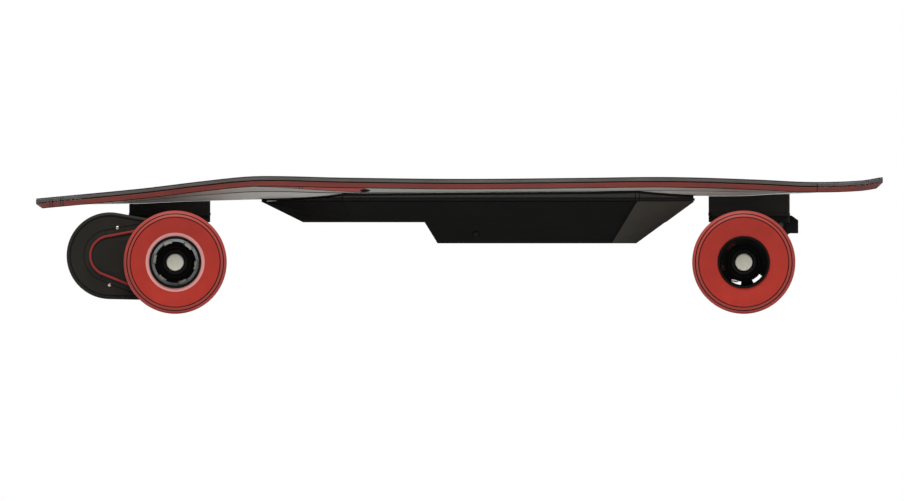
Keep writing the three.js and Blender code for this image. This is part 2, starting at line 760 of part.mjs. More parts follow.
function axleNut() {
  const from = WHEEL.hubOffset - BEARING.spacer / 2 - BEARING.width - GAP;
  const bore = AXLE.radius + GAP;
  const boreEnd = WHEEL.centre - AXLE.reach - 0.5;
  return turned(
    [
      [0, from - NUT.length],
      [NUT.radius - 0.8, from - NUT.length],
      [NUT.radius, from - NUT.length + 0.8],
      [NUT.radius, from],
      [bore, from],
      [bore, boreEnd],
      [0, boreEnd],
    ],
    12,
  );
}

// One wheel; its outer side faces -Y before it is turned to its place.
function wheel(parent, place, side, x, windowAngle) {
  const group = new THREE.Group();
  group.position.set(x, side * WHEEL.centre, AXLE_HEIGHT);
  if (side > 0) group.rotation.z = Math.PI;
  parent.add(group);
  const hub = WHEEL.hubOffset;
  const near = BEARING.spacer / 2;
  const far = near + BEARING.width;
  const facing = side > 0 ? 180 - windowAngle : windowAngle;
  piece(group, place + "_tyre", tyre(), LOOK.tyre);
  piece(group, place + "_core", core(facing), LOOK.core);
  const bearing = (from, to) => tube(BEARING.radius, BEARING.bore, from, to, 16);
  piece(group, place + "_outer_bearing", bearing(hub - far, hub - near), LOOK.bearing);
  piece(group, place + "_inner_bearing", bearing(hub + near, hub + far), LOOK.bearing);
  piece(group, place + "_axle_nut", axleNut(), LOOK.steel);
  return group;
}

// ---------------------------------------------------------------- belt drive
// The outline round two circles and their outer tangents, first circle at the origin.
function beltOutline(x, z, firstRadius, secondRadius) {
  const distance = Math.hypot(x, z);
  const heading = Math.atan2(z, x);
  const lean = Math.acos((firstRadius - secondRadius) / distance);
  const shape = new THREE.Shape();
  shape.absarc(0, 0, firstRadius, heading + lean, heading + 2 * Math.PI - lean, false);
  shape.absarc(x, z, secondRadius, heading - lean, heading + lean, false);
  return shape;
}

const pulleyTip = (teeth) => (teeth * BELT.pitch) / (2 * Math.PI) - TOOTH.below;

// A toothed pulley's outline: trapezoid teeth with their tips just below the pitch line.
function toothedOutline(teeth) {
  const tip = pulleyTip(teeth);
  const root = tip - TOOTH.depth;
  const shape = new THREE.Shape();
  const spots = [
    [0.06, root],
    [0.2, tip],
    [0.8, tip],
    [0.94, root],
  ];
  for (let i = 0; i < teeth; i += 1) {
    spots.forEach(([share, radius], k) => {
      const angle = ((i + share - 0.5) / teeth) * 2 * Math.PI;
      const x = radius * Math.cos(angle);
      const z = radius * Math.sin(angle);
      if (i === 0 && k === 0) shape.moveTo(x, z);
      else shape.lineTo(x, z);
    });
  }
  return shape;
}

const beltFrom = -DRIVE.backOut - 14.5;
const beltTo = -DRIVE.backOut - 1.9;
const beltMiddle = (beltFrom + beltTo) / 2;

function wheelPulley(windowAngle) {
  const flange = pulleyTip(WHEEL_TEETH) + 3;
  const base = -DRIVE.backOut - GAP - 0.4;
  const teeth = slab(toothedOutline(WHEEL_TEETH), beltFrom, beltTo);
  const inside = tube(flange, 12, beltTo, base, 24);
  const outside = tube(flange, 12, beltFrom - 1.2, beltFrom, 24);
  const webAt = -(WHEEL.centre - WEB.inner - GAP);
  const sleeve = tube(22, 15.9, webAt, beltFrom, 18);
  const parts = [teeth, inside, outside, sleeve];
  for (let i = 0; i < WINDOWS; i += 1) {
    const centre = windowAngle + (i * 360) / WINDOWS;
    const shape = windowShape(centre, WINDOW.halfAngle - 2, WINDOW.inner + 0.4, WINDOW.outer - 0.4);
    parts.push(slab(shape, clampAt - CLAMP.thickness + GAP, webAt + 1, 2));
  }
  const bore = tube(12, 0, -200, 0, 24);
  return cut(joined(...parts), bore);
}

function motorPulley() {
  const flange = pulleyTip(MOTOR_TEETH) + 3;
  const parts = [
    slab(toothedOutline(MOTOR_TEETH), beltFrom, beltTo),
    tube(flange, 0, beltTo, -DRIVE.backOut - GAP - 0.4, 20),
    tube(flange, 0, beltFrom - 1.2, beltFrom, 20),
  ];
  return cut(joined(...parts), tube(4.3, 0, -200, 0, 16));
}

function driveBelt() {
  const inner = beltOutline(
    MOTOR.x,
    MOTOR.z,
    pulleyTip(WHEEL_TEETH) + 0.4,
    pulleyTip(MOTOR_TEETH) + 0.4,
  );
  const outer = beltOutline(
    MOTOR.x,
    MOTOR.z,
    pulleyTip(WHEEL_TEETH) + 0.4 + BELT.thickness,
    pulleyTip(MOTOR_TEETH) + 0.4 + BELT.thickness,
  );
  const from = beltMiddle - BELT.width / 2;
  const to = beltMiddle + BELT.width / 2;
  return cut(slab(outer, from, to, 14), slab(inner, from - 2, to + 2, 14));
}

const coverOutline = (inset) =>
  beltOutline(MOTOR.x, MOTOR.z, COVER.wheelEnd - inset, COVER.motorEnd - inset);

function outerCover() {
  const body = slab(coverOutline(0), -DRIVE.faceOut, -DRIVE.backOut - GAP, 14);
  const room = slab(
    coverOutline(COVER.wall),
    -DRIVE.faceOut + COVER.wall,
    -DRIVE.backOut + 4,
    14,
  );
  return cut(body, room, tube(COVER.wheelHole, 0, -120, 0, 20));
}

function innerCover() {
  const body = slab(coverOutline(0), -DRIVE.backOut, -DRIVE.backIn, 14);
  const shaftHole = tube(8, 0, -120, 0, 14).translate(MOTOR.x, 0, MOTOR.z);
  return cut(body, shaftHole, tube(BEAM.arm + 1.4, 0, -120, 0, 14));
}

function coverTrim() {
  const loop = (grow) => beltOutline(MOTOR.x, MOTOR.z, TRIM.wheelEnd + grow, TRIM.motorEnd + grow);
  const from = -DRIVE.trimOut;
  const to = -DRIVE.faceOut - GAP;
  const half = TRIM.width / 2;
  return cut(slab(loop(half), from, to, 12), slab(loop(-half), from - 1, to + 1, 12));
}

function motorMount() {
  const outline = beltOutline(MOTOR.x, MOTOR.z, 16, 23);
  const body = slab(outline, -DRIVE.plateOut, -DRIVE.plateIn, 12);
  const shaftHole = tube(8, 0, -120, 0, 14).translate(MOTOR.x, 0, MOTOR.z);
  const slit = new THREE.BoxGeometry(20, 20, 1.6).translate(12, -62, 0);
  return cut(body, shaftHole, tube(BEAM.arm + 2 * GAP, 0, -120, 0, 16), slit);
}

// The still part of the motor: its mounting flange, centre tube and wound core.
function motorStator() {
  const face = -DRIVE.plateIn + GAP;
  return turned(
    [
      [5, face],
      [22, face],
      [24.2, face + 2],
      [24.2, face + 5],
      [10, face + 5],
      [10, face + 8],
      [21.4, face + 8],
      [21.4, -MOTOR.inner - 6],
      [5, -MOTOR.inner - 6],
    ],
    18,
  );
}

// The turning part of the motor: the can, its end wall and its shaft.
function motorRotor() {
  const open = -DRIVE.plateIn + GAP + 5.6;
  const inside = MOTOR.radius - MOTOR.wall - 0.8;
  return turned(
    [
      [0, -MOTOR.inner],
      [MOTOR.radius - 1.5, -MOTOR.inner],
      [MOTOR.radius, -MOTOR.inner - 1.5],
      [MOTOR.radius, open],
      [inside, open],
      [inside, -MOTOR.inner - 4],
      [4, -MOTOR.inner - 4],
      [4, beltFrom - 1],
      [0, beltFrom - 1],
    ],
    18,
  );
}

function clampRing() {
  const from = clampAt - CLAMP.thickness;
  const notches = [];
  for (let i = 0; i < WINDOWS; i += 1) {
    const centre = REAR_WINDOW_ANGLE + (i * 360) / WINDOWS;
    const shape = windowShape(centre, WINDOW.halfAngle, WINDOW.inner, WINDOW.outer);
    notches.push(slab(shape, from - 1, clampAt + 1, 2));
  }
  return cut(tube(WEB.rim - GAP, CLAMP.inner, from, clampAt, 18), ...notches);
}

function drive(parent) {
  const group = new THREE.Group();
  group.position.set(-WHEELBASE / 2, 0, AXLE_HEIGHT);
  parent.add(group);
  const atMotor = new THREE.Group();
  atMotor.position.set(MOTOR.x, 0, MOTOR.z);
  group.add(atMotor);
  piece(group, "motor_mount", motorMount(), LOOK.alloy);
  piece(atMotor, "motor_stator", motorStator(), LOOK.alloy);
  piece(atMotor, "motor_rotor", motorRotor(), LOOK.motor);
  piece(atMotor, "motor_pulley", motorPulley(), LOOK.alloy);
  piece(group, "wheel_pulley", wheelPulley(REAR_WINDOW_ANGLE), LOOK.pulley);
  piece(group, "pulley_clamp_ring", clampRing(), LOOK.alloy);
  piece(group, "drive_belt", driveBelt(), LOOK.rubber);
  piece(group, "belt_cover_inner", innerCover(), LOOK.cover);
  piece(group, "belt_cover_outer", outerCover(), LOOK.cover);
  piece(group, "belt_cover_trim", coverTrim(), LOOK.trim);
}

// ---------------------------------------------------------------- the whole board
const skateboard = new THREE.Group();
deck(skateboard);
enclosure(skateboard);
truck(skateboard, "front", 1);
truck(skateboard, "rear", -1);
for (const [end, x, angle] of [
  ["front", WHEELBASE / 2, FRONT_WINDOW_ANGLE],
  ["rear", -WHEELBASE / 2, REAR_WINDOW_ANGLE],
]) {
  wheel(skateboard, end + "_right", -1, x, angle);
  wheel(skateboard, end + "_left", 1, x, angle);
}
drive(skateboard);

export default skateboard;
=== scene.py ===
"""Electric skateboard: a laminated deck on two kingpin trucks, four large-core wheels, a belt drive
on the rear right wheel, and a two-level enclosure below. Driving dimensions are in millimetres."""
import math
from contextlib import contextmanager

import bmesh
import bpy
from mathutils import Matrix, Vector


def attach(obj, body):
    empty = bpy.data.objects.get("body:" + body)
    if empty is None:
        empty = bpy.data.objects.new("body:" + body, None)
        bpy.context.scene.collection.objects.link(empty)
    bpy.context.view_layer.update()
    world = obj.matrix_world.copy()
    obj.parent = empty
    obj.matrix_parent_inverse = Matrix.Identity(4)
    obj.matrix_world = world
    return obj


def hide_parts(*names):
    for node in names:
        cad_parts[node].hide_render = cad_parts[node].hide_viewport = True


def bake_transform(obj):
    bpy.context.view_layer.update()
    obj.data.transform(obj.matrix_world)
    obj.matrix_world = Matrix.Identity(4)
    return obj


# ---------------------------------------------------------------- driving dimensions
MM = 0.001
GAP = 0.3  # left between parts that don't touch

DECK_LENGTH = 795.4
DECK_THICKNESS = 9.9
LAYERS = {  # depth of the top, depth of the bottom, how far the edge stands back
    "grip": (0, 1.1, 0.3),
    "upper": (1.15, 3.8, 0),
    "line": (3.82, 4.68, 0.15),
    "lower": (4.7, DECK_THICKNESS, 0),
}
TAIL_CORNER = (-371, 27)
NOSE_CORNER = (336, 58)
RAIL_TOP = [
    (-397.7, 108.3), (-300, 117.7), (-244, 124.5), (-200, 129.1), (-170, 129.6), (-112, 128.2), (0, 126.9),
    (113, 127.8), (180, 128.7), (226, 128.1), (282, 126.1), (330, 123.9), (376, 125.2), (397.7, 128.6),
]
DISH_DEPTH = [
    (-350, 0), (-320, 2.4), (-262, 6.9), (-206, 11.7), (-168, 12.3), (-110, 12), (-60, 8.6), (0, 6.4),
    (50, 6), (100, 6.6), (160, 8), (207, 7.7), (264, 6), (301, 2.4), (335, 0),
]
HALF_WIDTH = [(-371, 84), (-267, 88), (-150, 111), (-60, 118), (110, 118), (190, 109), (267, 90), (336, 86)]
CREASE = 0.84  # where the crease runs, as a share of the half width
CREASE_SHARE = 0.38  # the share of the dish's depth reached at the crease

AXLE_X = 267
AXLE_Z = 48.5
WHEEL_R = 48.5
WHEEL_HALF = 26
WHEEL_Y = 114
CORE_R = 24.7
CORE_HALF = WHEEL_HALF - 2.8
HUB = 6  # from the wheel's middle plane to the middle of its hub
BEARING_R = 10.95
WINDOWS = 6
WINDOW = {"half": 13.5, "inner": 17.8, "outer": 21.4}
FRONT_ANGLE = 9
REAR_ANGLE = 51

STEER_ANGLE = math.radians(30)
KINGPIN_ANGLE = math.radians(12)
KINGPIN_TOP = 39.5
KINGPIN_HEAD = 34
KINGPIN_BORE = 5.1
AXLE_END = 126
BEAM_END = 95.7
PIVOT_TIP = Vector((42, 0, 35.5))
PLATE = (-33, 43.2, 32, 37.5, 43.9)  # inner end, outer end, half width, bottom, top
RIB_Y = 12
BOLT_SPOTS = [(-24, -20.6), (-24, 20.6), (33, -20.6), (33, 20.6)]
BOLT_R = 4.6

MOTOR_X = -61.2
MOTOR_Z = 6.1
MOTOR_R = 25
MOTOR_INNER = 19.5
MOTOR_SCREW_RING = 15.5
COILS = 12
PITCH = 5
WHEEL_TEETH = 36
MOTOR_TEETH = 16
BELT_FROM = -81.8
BELT_TO = -69.2
FACE_OUT = 86
BACK_OUT = 67.3
MOUNT_FROM = -65
MOUNT_TO = -57.5
COVER = (36, 40.8)  # the cover's radii round the wheel and round the motor
COVER_OPENING = 23.6
LINE_DEPTH = 0.3

SHELL_PLAN = {
    "flange": (-187, -110, 167, 221),
    "shallow": (-146.8, -101, 155, 193.9),
    "step": (-33.1, -33, 155, 193.9),
    "deep": (-20.7, -20.6, 143, 166.1),
}
SHELL_FLANGE = 105.8
SHELL_SHALLOW = 86
SHELL_DEEP = 66.2
SHELL_WALL = 3
SHELL_HALF = 96
SHELL_DEEP_HALF = 81.6
NOSE_SLOPE = 24 / 39.6
TAIL_SLOPE = 9 / 19.8
BUTTON_X = 15.5
BUTTON_Z = 74.5
PORT_X = 60
PORT_Z = 84

ENDS = {"front": 1, "rear": -1}  # the sign of X at each end
SIDES = {"right": -1, "left": 1}  # the sign of Y at each side
UP = (0, 0, 1)


# ---------------------------------------------------------------- camera and frame
def linked(name, data):
    obj = bpy.data.objects.new(name, data)
    bpy.context.collection.objects.link(obj)
    return obj


def configured(thing, settings):
    for key, value in settings.items():
        setattr(thing, key, value)
    return thing


def make_camera():
    data = bpy.data.cameras.new("camera")
    data.type = "ORTHO"
    data.ortho_scale = 0.849
    camera = linked("camera", data)
    camera.location = (-0.007, -3.0, 0.0595)
    camera.rotation_euler = (math.pi / 2, 0, 0)
    bpy.context.scene.camera = camera


make_camera()
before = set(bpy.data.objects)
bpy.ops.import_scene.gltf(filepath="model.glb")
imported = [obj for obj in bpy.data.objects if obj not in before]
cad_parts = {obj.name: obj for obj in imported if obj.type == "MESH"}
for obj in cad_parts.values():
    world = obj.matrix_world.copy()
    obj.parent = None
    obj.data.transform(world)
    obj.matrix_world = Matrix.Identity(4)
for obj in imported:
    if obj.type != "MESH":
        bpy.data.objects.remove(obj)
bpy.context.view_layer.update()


# ---------------------------------------------------------------- shader tools
def tone(red, green, blue):
    """A linear colour from the 0 to 255 values seen on a screen."""
    def linear(value):
        share = value / 255
        return share / 12.92 if share <= 0.04045 else ((share + 0.055) / 1.055) ** 2.4
    return (linear(red), linear(green), linear(blue), 1)


class Shader:
    """A node material: a Principled surface with colour, roughness and bump that vary over the piece."""

    def __init__(self, name, colour, roughness, metallic=0.0, specular=0.3, coat=0.0):
        self.material = bpy.data.materials.new(name)
        self.material.use_nodes = True
        self.tree = self.material.node_tree
        self.surface = self.tree.nodes["Principled BSDF"]
        self.feed(self.surface, {
            "Metallic": metallic, "Specular IOR Level": specular, "Coat Weight": coat, "Coat Roughness": 0.25,
        })
        self.place = self.node("TexCoord")
        self.colour = self.node("RGB").outputs[0]
        self.colour.default_value = colour
        self.rough = roughness
        self.height = None

    def feed(self, node, inputs):
        """Links sockets to a node's inputs, and sets plain values on them directly."""
        for name, value in inputs.items():
            if isinstance(value, bpy.types.NodeSocket):
                self.tree.links.new(value, node.inputs[name])
            else:
                node.inputs[name].default_value = value

    def node(self, kind, inputs=None, **settings):
        made = configured(self.tree.nodes.new("ShaderNode" + kind), settings)
        self.feed(made, inputs or {})
        return made

    def calc(self, operation, *values):
        return self.node("Math", dict(enumerate(values)), operation=operation).outputs[0]

    def times(self, first, second):
        return self.calc("MULTIPLY", first, second)

    def plus(self, first, second):
        return self.calc("ADD", first, second)

    def minus(self, first, second):
        return self.calc("SUBTRACT", first, second)

    def axis(self, letter, source="Object"):
        return self.node("SeparateXYZ", {0: self.place.outputs[source]}).outputs[letter]

    def radius(self):
        """The distance in metres from the piece's Y axis."""
        x = self.axis("X")
        z = self.axis("Z")
        return self.calc("SQRT", self.plus(self.times(x, x), self.times(z, z)))

    def ramp(self, value, start, stop):
        """0 at start, 1 at stop, smooth between them."""
        limits = {"Value": value, "From Min": start, "From Max": stop}
        return self.node("MapRange", limits, interpolation_type="SMOOTHSTEP").outputs[0]

    def above(self, value, level, soft):
        return self.ramp(value, level - soft, level + soft)

    def near(self, value, centre, half, soft=0.35):
        """1 where a value lies within half of centre, 0 elsewhere, with soft edges."""
        off = self.calc("ABSOLUTE", self.minus(value, centre))
        return self.ramp(off, half * (1 + soft), half * (1 - soft))

    def noise(self, scale, detail=4.0, stretch=(1, 1, 1)):
        mapping = self.node("Mapping", {"Vector": self.place.outputs["Object"], "Scale": stretch})
        pattern = {"Vector": mapping.outputs[0], "Scale": scale, "Detail": detail, "Roughness": 0.55}
        return self.node("TexNoise", pattern).outputs["Fac"]

    def paint(self, mask, colour, share=None):
        """Another colour where the mask is 1. A share, a number or a second mask, weakens it."""
        if share is not None:
            mask = self.times(mask, share)
        mixed = self.node("Mix", {"Factor": mask, "A": self.colour, "B": colour}, data_type="RGBA")
        self.colour = mixed.outputs["Result"]

    def vary(self, noise, amount):
        """Lighter and darker patches of the same colour."""
        bright = self.plus(self.times(self.above(noise, 0.5, 0.2), 2 * amount), 1 - amount)
        self.colour = self.node("VectorMath", {0: self.colour, "Scale": bright}, operation="SCALE").outputs[0]

    def scuff(self, noise, amount):
        """Rougher and smoother patches."""
        self.rough = self.plus(self.rough, self.times(self.minus(noise, 0.5), 2 * amount))

    def raise_by(self, pattern, depth):
        """Adds a height pattern, depth in metres."""
        layer = self.times(pattern, depth)
        self.height = layer if self.height is None else self.plus(self.height, layer)

    def done(self):
        self.feed(self.surface, {"Base Color": self.colour, "Roughness": self.rough})
        if self.height is not None:
            bump = self.node("Bump", {"Strength": 1, "Distance": 1, "Height": self.height})
            self.feed(self.surface, {"Normal": bump.outputs[0]})
        return self.material


INK = tone(14, 12, 11)


def moulded(name, colour, roughness=0.55, grain=900, depth=0.00003, specular=0.15):
    """Moulded black plastic or rubber: fine grain, faint flow marks, uneven gloss."""
    shader = Shader(name, tone(*colour), roughness, specular=specular)
    shader.vary(shader.noise(28, 3), 0.10)
    shader.scuff(shader.noise(60, 4), 0.10)
    shader.raise_by(shader.noise(grain, 3), depth)
    return shader


def metal(name, colour, roughness, brushed=(1, 1, 1), scale=500, depth=0.00001):
    """Bare or plated metal: fine marks along one direction, dull patches."""
    shader = Shader(name, tone(*colour), roughness, metallic=1.0, specular=0.5)
    shader.vary(shader.noise(40, 4), 0.08)
    shader.scuff(shader.noise(scale, 4, brushed), 0.14)
    shader.raise_by(shader.noise(scale, 4, brushed), depth)
    return shader


def grip_look():
    """Grit bonded to black sheet: coarse sparkling grains."""
    shader = Shader("grip_grit", tone(52, 51, 50), 0.92, specular=0.35)
    shader.vary(shader.noise(14, 4), 0.14)
    shader.vary(shader.noise(1900, 2), 0.45)
    shader.paint(shader.above(shader.noise(2600, 1), 0.74, 0.03), tone(150, 148, 145))
    shader.raise_by(shader.noise(1500, 3), 0.0005)
    return shader


EDGE_SEAMS = [  # where each line crosses the edge, and its half width
    (-384.5, 0.35), (-382.2, 0.35), (-374.6, 0.35), (-372.4, 0.35), (336.0, 0.4),
]


def ply_look(name, colour, streak, amount):
    """The edge of pressed veneers: long streaks of grain, a soft lacquer and thin scribed lines across."""
    shader = Shader(name, tone(*colour), 0.5, specular=0.25, coat=0.15)
    shader.vary(shader.noise(streak, 5, (0.12, 1, 2.2)), amount)
    shader.vary(shader.noise(9, 3), 0.08)
    shader.raise_by(shader.noise(streak * 2, 4, (0.1, 1, 2.5)), 0.00008)
    x = shader.axis("X")
    for station, half in EDGE_SEAMS:
        shader.paint(shader.near(x, station * MM, half * MM), INK)
    return shader


def under_look():
    """Pale pressed fibre sheet under the deck, with the crease, the red wedge by the waist with two
    ticks, and a small oval in front of it drawn in. Across is a share of the half width."""
    shader = Shader("deck_underside", tone(206, 207, 201), 0.5, specular=0.2, coat=0.1)
    shader.vary(shader.noise(34, 4, (0.25, 1, 1)), 0.05)
    shader.raise_by(shader.noise(420, 2, (1, 0.15, 1)), 0.00008)
    shader.scuff(shader.noise(26, 3), 0.12)
    along = shader.axis("X", "UV")
    across = shader.calc("ABSOLUTE", shader.axis("Y", "UV"))
    # Painted shade: the bevelled rail outside the crease is painted darker, as where it slopes away from the
    # light.
    shader.paint(shader.above(across, CREASE, 0.004), tone(150, 146, 140), 0.5)
    shader.paint(shader.near(across, CREASE, 0.012), INK)

    run = shader.calc("DIVIDE", shader.plus(along, 0.19), 0.097)
    beyond = shader.minus(across, shader.minus(1.0, shader.times(run, 0.13)))
    span = shader.near(along, -0.139, 0.051, 0.01)
    wedge = shader.times(shader.above(beyond, 0.0, 0.003), span)
    shader.paint(wedge, tone(180, 92, 86))
    shader.paint(shader.near(beyond, 0.0, 0.007), INK, span)
    for station in (-0.1505, -0.1478):
        shader.paint(shader.near(along, station, 0.0004), INK, wedge)

    far = shader.calc("DIVIDE", shader.plus(along, 0.0885), 0.0046)
    wide = shader.calc("DIVIDE", shader.minus(across, 0.92), 0.055)
    oval = shader.plus(shader.times(far, far), shader.times(wide, wide))
    shader.paint(shader.minus(1.0, shader.above(oval, 1.0, 0.15)), INK)
    return shader


def urethane_look(name, inner_ring):
    """Cast urethane: a satin red with turned rings, drawn lip lines and a rounded lip painted paler as
    painted light.
    """
    shader = Shader(name, tone(172, 54, 44), 0.45, specular=0.14)
    shader.feed(shader.surface, {
        "Subsurface Weight": 0.06, "Subsurface Scale": 0.004, "Subsurface Radius": (1.0, 0.3, 0.2),
    })
    r = shader.radius()
    lip = 0.0423
    shader.vary(shader.noise(55, 4), 0.05)
    # Painted light: the rounded lip beyond the first line is painted paler.
    shader.paint(shader.above(r, lip, 0.0001), tone(168, 84, 78), 0.5)
    if inner_ring:
        shader.paint(shader.minus(1.0, shader.above(r, 0.0277, 0.0001)), tone(216, 152, 149))
    for ring in (lip, 0.0454):
        shader.paint(shader.near(r, ring, 0.0005), tone(40, 10, 8))
    shader.raise_by(shader.calc("SINE", shader.times(r, 14000)), 0.000004)
    shader.raise_by(shader.noise(700, 3), 0.00001)
    shader.scuff(shader.noise(120, 4), 0.12)
    return shader


def enclosure_look():
    """Moulded enclosure with a leather-fine grain, a skirt painted paler with two lines, a nose facet painted
    paler and dark drawn edges at the nose and tail corners. The paler skirt and nose facet are painted light."""
    shader = moulded("enclosure_plastic", (15, 15, 14), 0.55, 1400, 0.00005, 0.08)
    edge = tone(6, 6, 6)
    x = shader.axis("X")
    z = shader.axis("Z")
    drop = shader.minus(SHELL_FLANGE * MM, z)
    below = shader.above(drop, 0.0, 0.0002)
    # Painted light: the skirt is painted paler, and its band between the grooves a little less pale.
    shader.paint(shader.above(z, 0.1062, 0.0002), tone(64, 64, 61))
    shader.paint(shader.near(z, 0.1074, 0.0012), tone(34, 34, 32))
    for height in (0.10885, 0.1060):
        shader.paint(shader.near(z, height, 0.00042), tone(4, 4, 4))
    nose = shader.plus(x, shader.times(drop, NOSE_SLOPE))
    # Painted light: the nose facet is painted paler, as if lit more brightly than the sides.
    shader.paint(shader.above(nose, 0.1672, 0.0002), tone(66, 65, 60), below)
    shader.paint(shader.near(nose, 0.1648, 0.0016), edge, below)
    tail = shader.minus(x, shader.times(drop, TAIL_SLOPE))
    shader.paint(shader.near(tail, -0.110, 0.0007), edge, below)
    for station in (0.1652, 0.1690, -0.110):
        shader.paint(shader.near(x, station, 0.0004), edge, shader.minus(1.0, below))
    return shader


SHADERS = {
    "grip": grip_look(),
    "upper": ply_look("upper_ply", (91, 87, 84), 160, 0.16),
    "line": moulded("glue_line", (10, 8, 8), 0.6),
    "lower": ply_look("red_ply", (118, 54, 47), 120, 0.10),
    "under": under_look(),
    "riser": moulded("riser_rubber", (40, 38, 35), 0.7, 700, 0.00006),
    "truck": moulded("truck_paint", (17, 17, 16), 0.5, 1600, 0.00003, 0.15),
    "steel": metal("plated_steel", (222, 219, 204), 0.45, (1, 0.2, 1)),
    "dark_steel": metal("dark_steel", (44, 44, 44), 0.45),
    "bolt": metal("black_bolt", (52, 50, 48), 0.45),
    "bushing": moulded("bushing_urethane", (74, 26, 24), 0.45, 500, 0.00002),
    "tyre": urethane_look("tyre_urethane", False),
    "drive_tyre": urethane_look("drive_tyre_urethane", True),
    "core": moulded("core_nylon", (13, 13, 12), 0.5, 1100, 0.00003, 0.1),
    "seal": moulded("bearing_seal", (13, 13, 12), 0.6, 1500, 0.00002, 0.1),
    "alloy": metal("anodised_alloy", (176, 181, 187), 0.42, (1, 0.3, 1)),
    "pulley": moulded("pulley_nylon", (250, 246, 234), 0.5, 900, 0.00003),
    "ring": moulded("ring_enamel", (214, 219, 224), 0.4, 700, 0.00002, 0.5),
    "can": metal("motor_can", (58, 58, 60), 0.38, (1, 0.08, 1), 900),
    "copper": metal("winding_copper", (190, 110, 70), 0.4, (1, 12, 1), 300, 0.0001),
    "rubber": moulded("black_rubber", (17, 17, 16), 0.75, 1200, 0.00005),
    "cover": moulded("cover_plastic", (38, 37, 33), 0.6, 1500, 0.00005),
    "trim": moulded("trim_red", (148, 54, 52), 0.5, 900, 0.00002),
    "shell": enclosure_look(),
    "battery": moulded("battery_wrap", (43, 74, 114), 0.4, 300, 0.00008),
    "board": moulded("circuit_board", (31, 77, 52), 0.5, 500, 0.00006),
    "button": moulded("button_rubber", (13, 13, 12), 0.6, 1200, 0.00003),
}
LOOKS = {name: shader.done() for name, shader in SHADERS.items()}


# ---------------------------------------------------------------- mesh tools
@contextmanager
def editing(mesh):
    """Opens a mesh for bmesh work, and writes the result back."""
    work = bmesh.new()
    work.from_mesh(mesh)
    yield work
    work.to_mesh(mesh)
    work.free()


def raw(points, faces):
    """A mesh in metres from points in millimetres, with shared points and faces turned out."""
    mesh = bpy.data.meshes.new("shape")
    mesh.from_pydata([Vector(point) * MM for point in points], [], faces)
    with editing(mesh) as work:
        bmesh.ops.remove_doubles(work, verts=work.verts, dist=2e-6)
        bmesh.ops.dissolve_degenerate(work, edges=work.edges, dist=1e-7)
        bmesh.ops.recalc_face_normals(work, faces=work.faces)
    return mesh


def loft(rings, wrap=False):
    """Skins rings of equal length; wrapped rings make a closed tube, others get end caps."""
    count = len(rings[0])
    points = [point for ring in rings for point in ring]
    faces = []
    for i in range(len(rings) if wrap else len(rings) - 1):
        a = i * count
        b = (i + 1) % len(rings) * count
        for j in range(count):
            k = (j + 1) % count
            faces.append((a + j, a + k, b + k, b + j))
    if not wrap:
        faces.append(tuple(range(count)))
        faces.append(tuple(range((len(rings) - 1) * count, len(rings) * count)))
    return raw(points, faces)


def arc(x, y, radius, start, stop, steps):
    """Points from one angle to another round a centre, both ends included."""
    turns = [start + (stop - start) * i / steps for i in range(steps + 1)]
    return [(x + radius * math.cos(turn), y + radius * math.sin(turn)) for turn in turns]


def circle(radius, y, sides):
    turns = [2 * math.pi * (i + 0.5) / sides for i in range(sides)]
    return [(radius * math.cos(turn), y, radius * math.sin(turn)) for turn in turns]


def soften(profile, radius, steps=3):
    """Rounds the corners of a closed flat outline, but none on the turning axis."""
    out = []
    for i, here in enumerate(profile):
        point = Vector(here)
        back = Vector(profile[i - 1]) - point
        ahead = Vector(profile[(i + 1) % len(profile)]) - point
        if here[0] == 0 or back.length < 0.02 or ahead.length < 0.02:
            out.append(tuple(point))
            continue
        start = point + back.normalized() * min(radius, 0.45 * back.length)
        end = point + ahead.normalized() * min(radius, 0.45 * ahead.length)
        for k in range(steps + 1):
            t = k / steps
            out.append(tuple(start * (1 - t) ** 2 + point * (2 * t * (1 - t)) + end * t * t))
    return out


def turned(profile, sides=64, soft=0.0):
    """A ring or disc turned about Y from a closed list of (radius, y) points."""
    line = soften(profile, soft) if soft else profile
    return loft([circle(radius, y, sides) for radius, y in line], wrap=True)


def tube(outer, inner, start, end, sides=64, soft=0.3):
    return turned([(inner, start), (outer, start), (outer, end), (inner, end)], sides, soft)


def disc(radius, start, end, sides=48, soft=0.0):
    """A solid cylinder along the Y axis."""
    return tube(radius, 0, start, end, sides, soft)


def shrink(outline, by):
    """A flat outline moved inward by a distance."""
    spots = [Vector(point) for point in outline]
    twice = sum(a.x * b.y - b.x * a.y for a, b in zip(spots, spots[1:] + spots[:1]))
    side = 1 if twice > 0 else -1
    out = []
    for i, point in enumerate(spots):
        before = (point - spots[i - 1]).normalized()
        after = (spots[(i + 1) % len(spots)] - point).normalized()
        first = Vector((before.y, -before.x)) * side
        lean = (first + Vector((after.y, -after.x)) * side).normalized()
        out.append(point - lean * (by / max(lean.dot(first), 0.4)))
    return out


def rim_rings(outline, start, end, rim, steps=2):
    """The outlines of a slab with rounded rims, as (outline, level) pairs."""
    turns = [k / steps * math.pi / 2 for k in range(steps + 1)]
    low = [(shrink(outline, rim * (1 - math.sin(turn))), rim * (1 - math.cos(turn))) for turn in turns]
    return [(ring, start + y) for ring, y in low] + [(ring, end - y) for ring, y in reversed(low)]


def slab(outline, start, end, rim=0.5):
    """A flat XZ outline given its thickness along Y."""
    return loft([[(x, y, z) for x, z in ring] for ring, y in rim_rings(outline, start, end, rim)])


def block(outline, start, end, rim=0.5):
    """A flat XY outline given its thickness along Z."""
    return loft([[(x, y, z) for x, y in ring] for ring, z in rim_rings(outline, start, end, rim)])


def at(x, y, z):
    return Matrix.Translation(Vector((x, y, z)) * MM)


HALF_TURN = Matrix.Rotation(math.pi, 4, "Z")


def aligned(mesh, start, direction):
    """Moves a mesh drawn along Y so that it starts at a point and runs along a direction."""
    turn = Vector((0, 1, 0)).rotation_difference(Vector(direction)).to_matrix().to_4x4()
    mesh.transform(at(*start) @ turn)
    return mesh


def moved(mesh, x, y, z):
    mesh.transform(at(x, y, z))
    return mesh


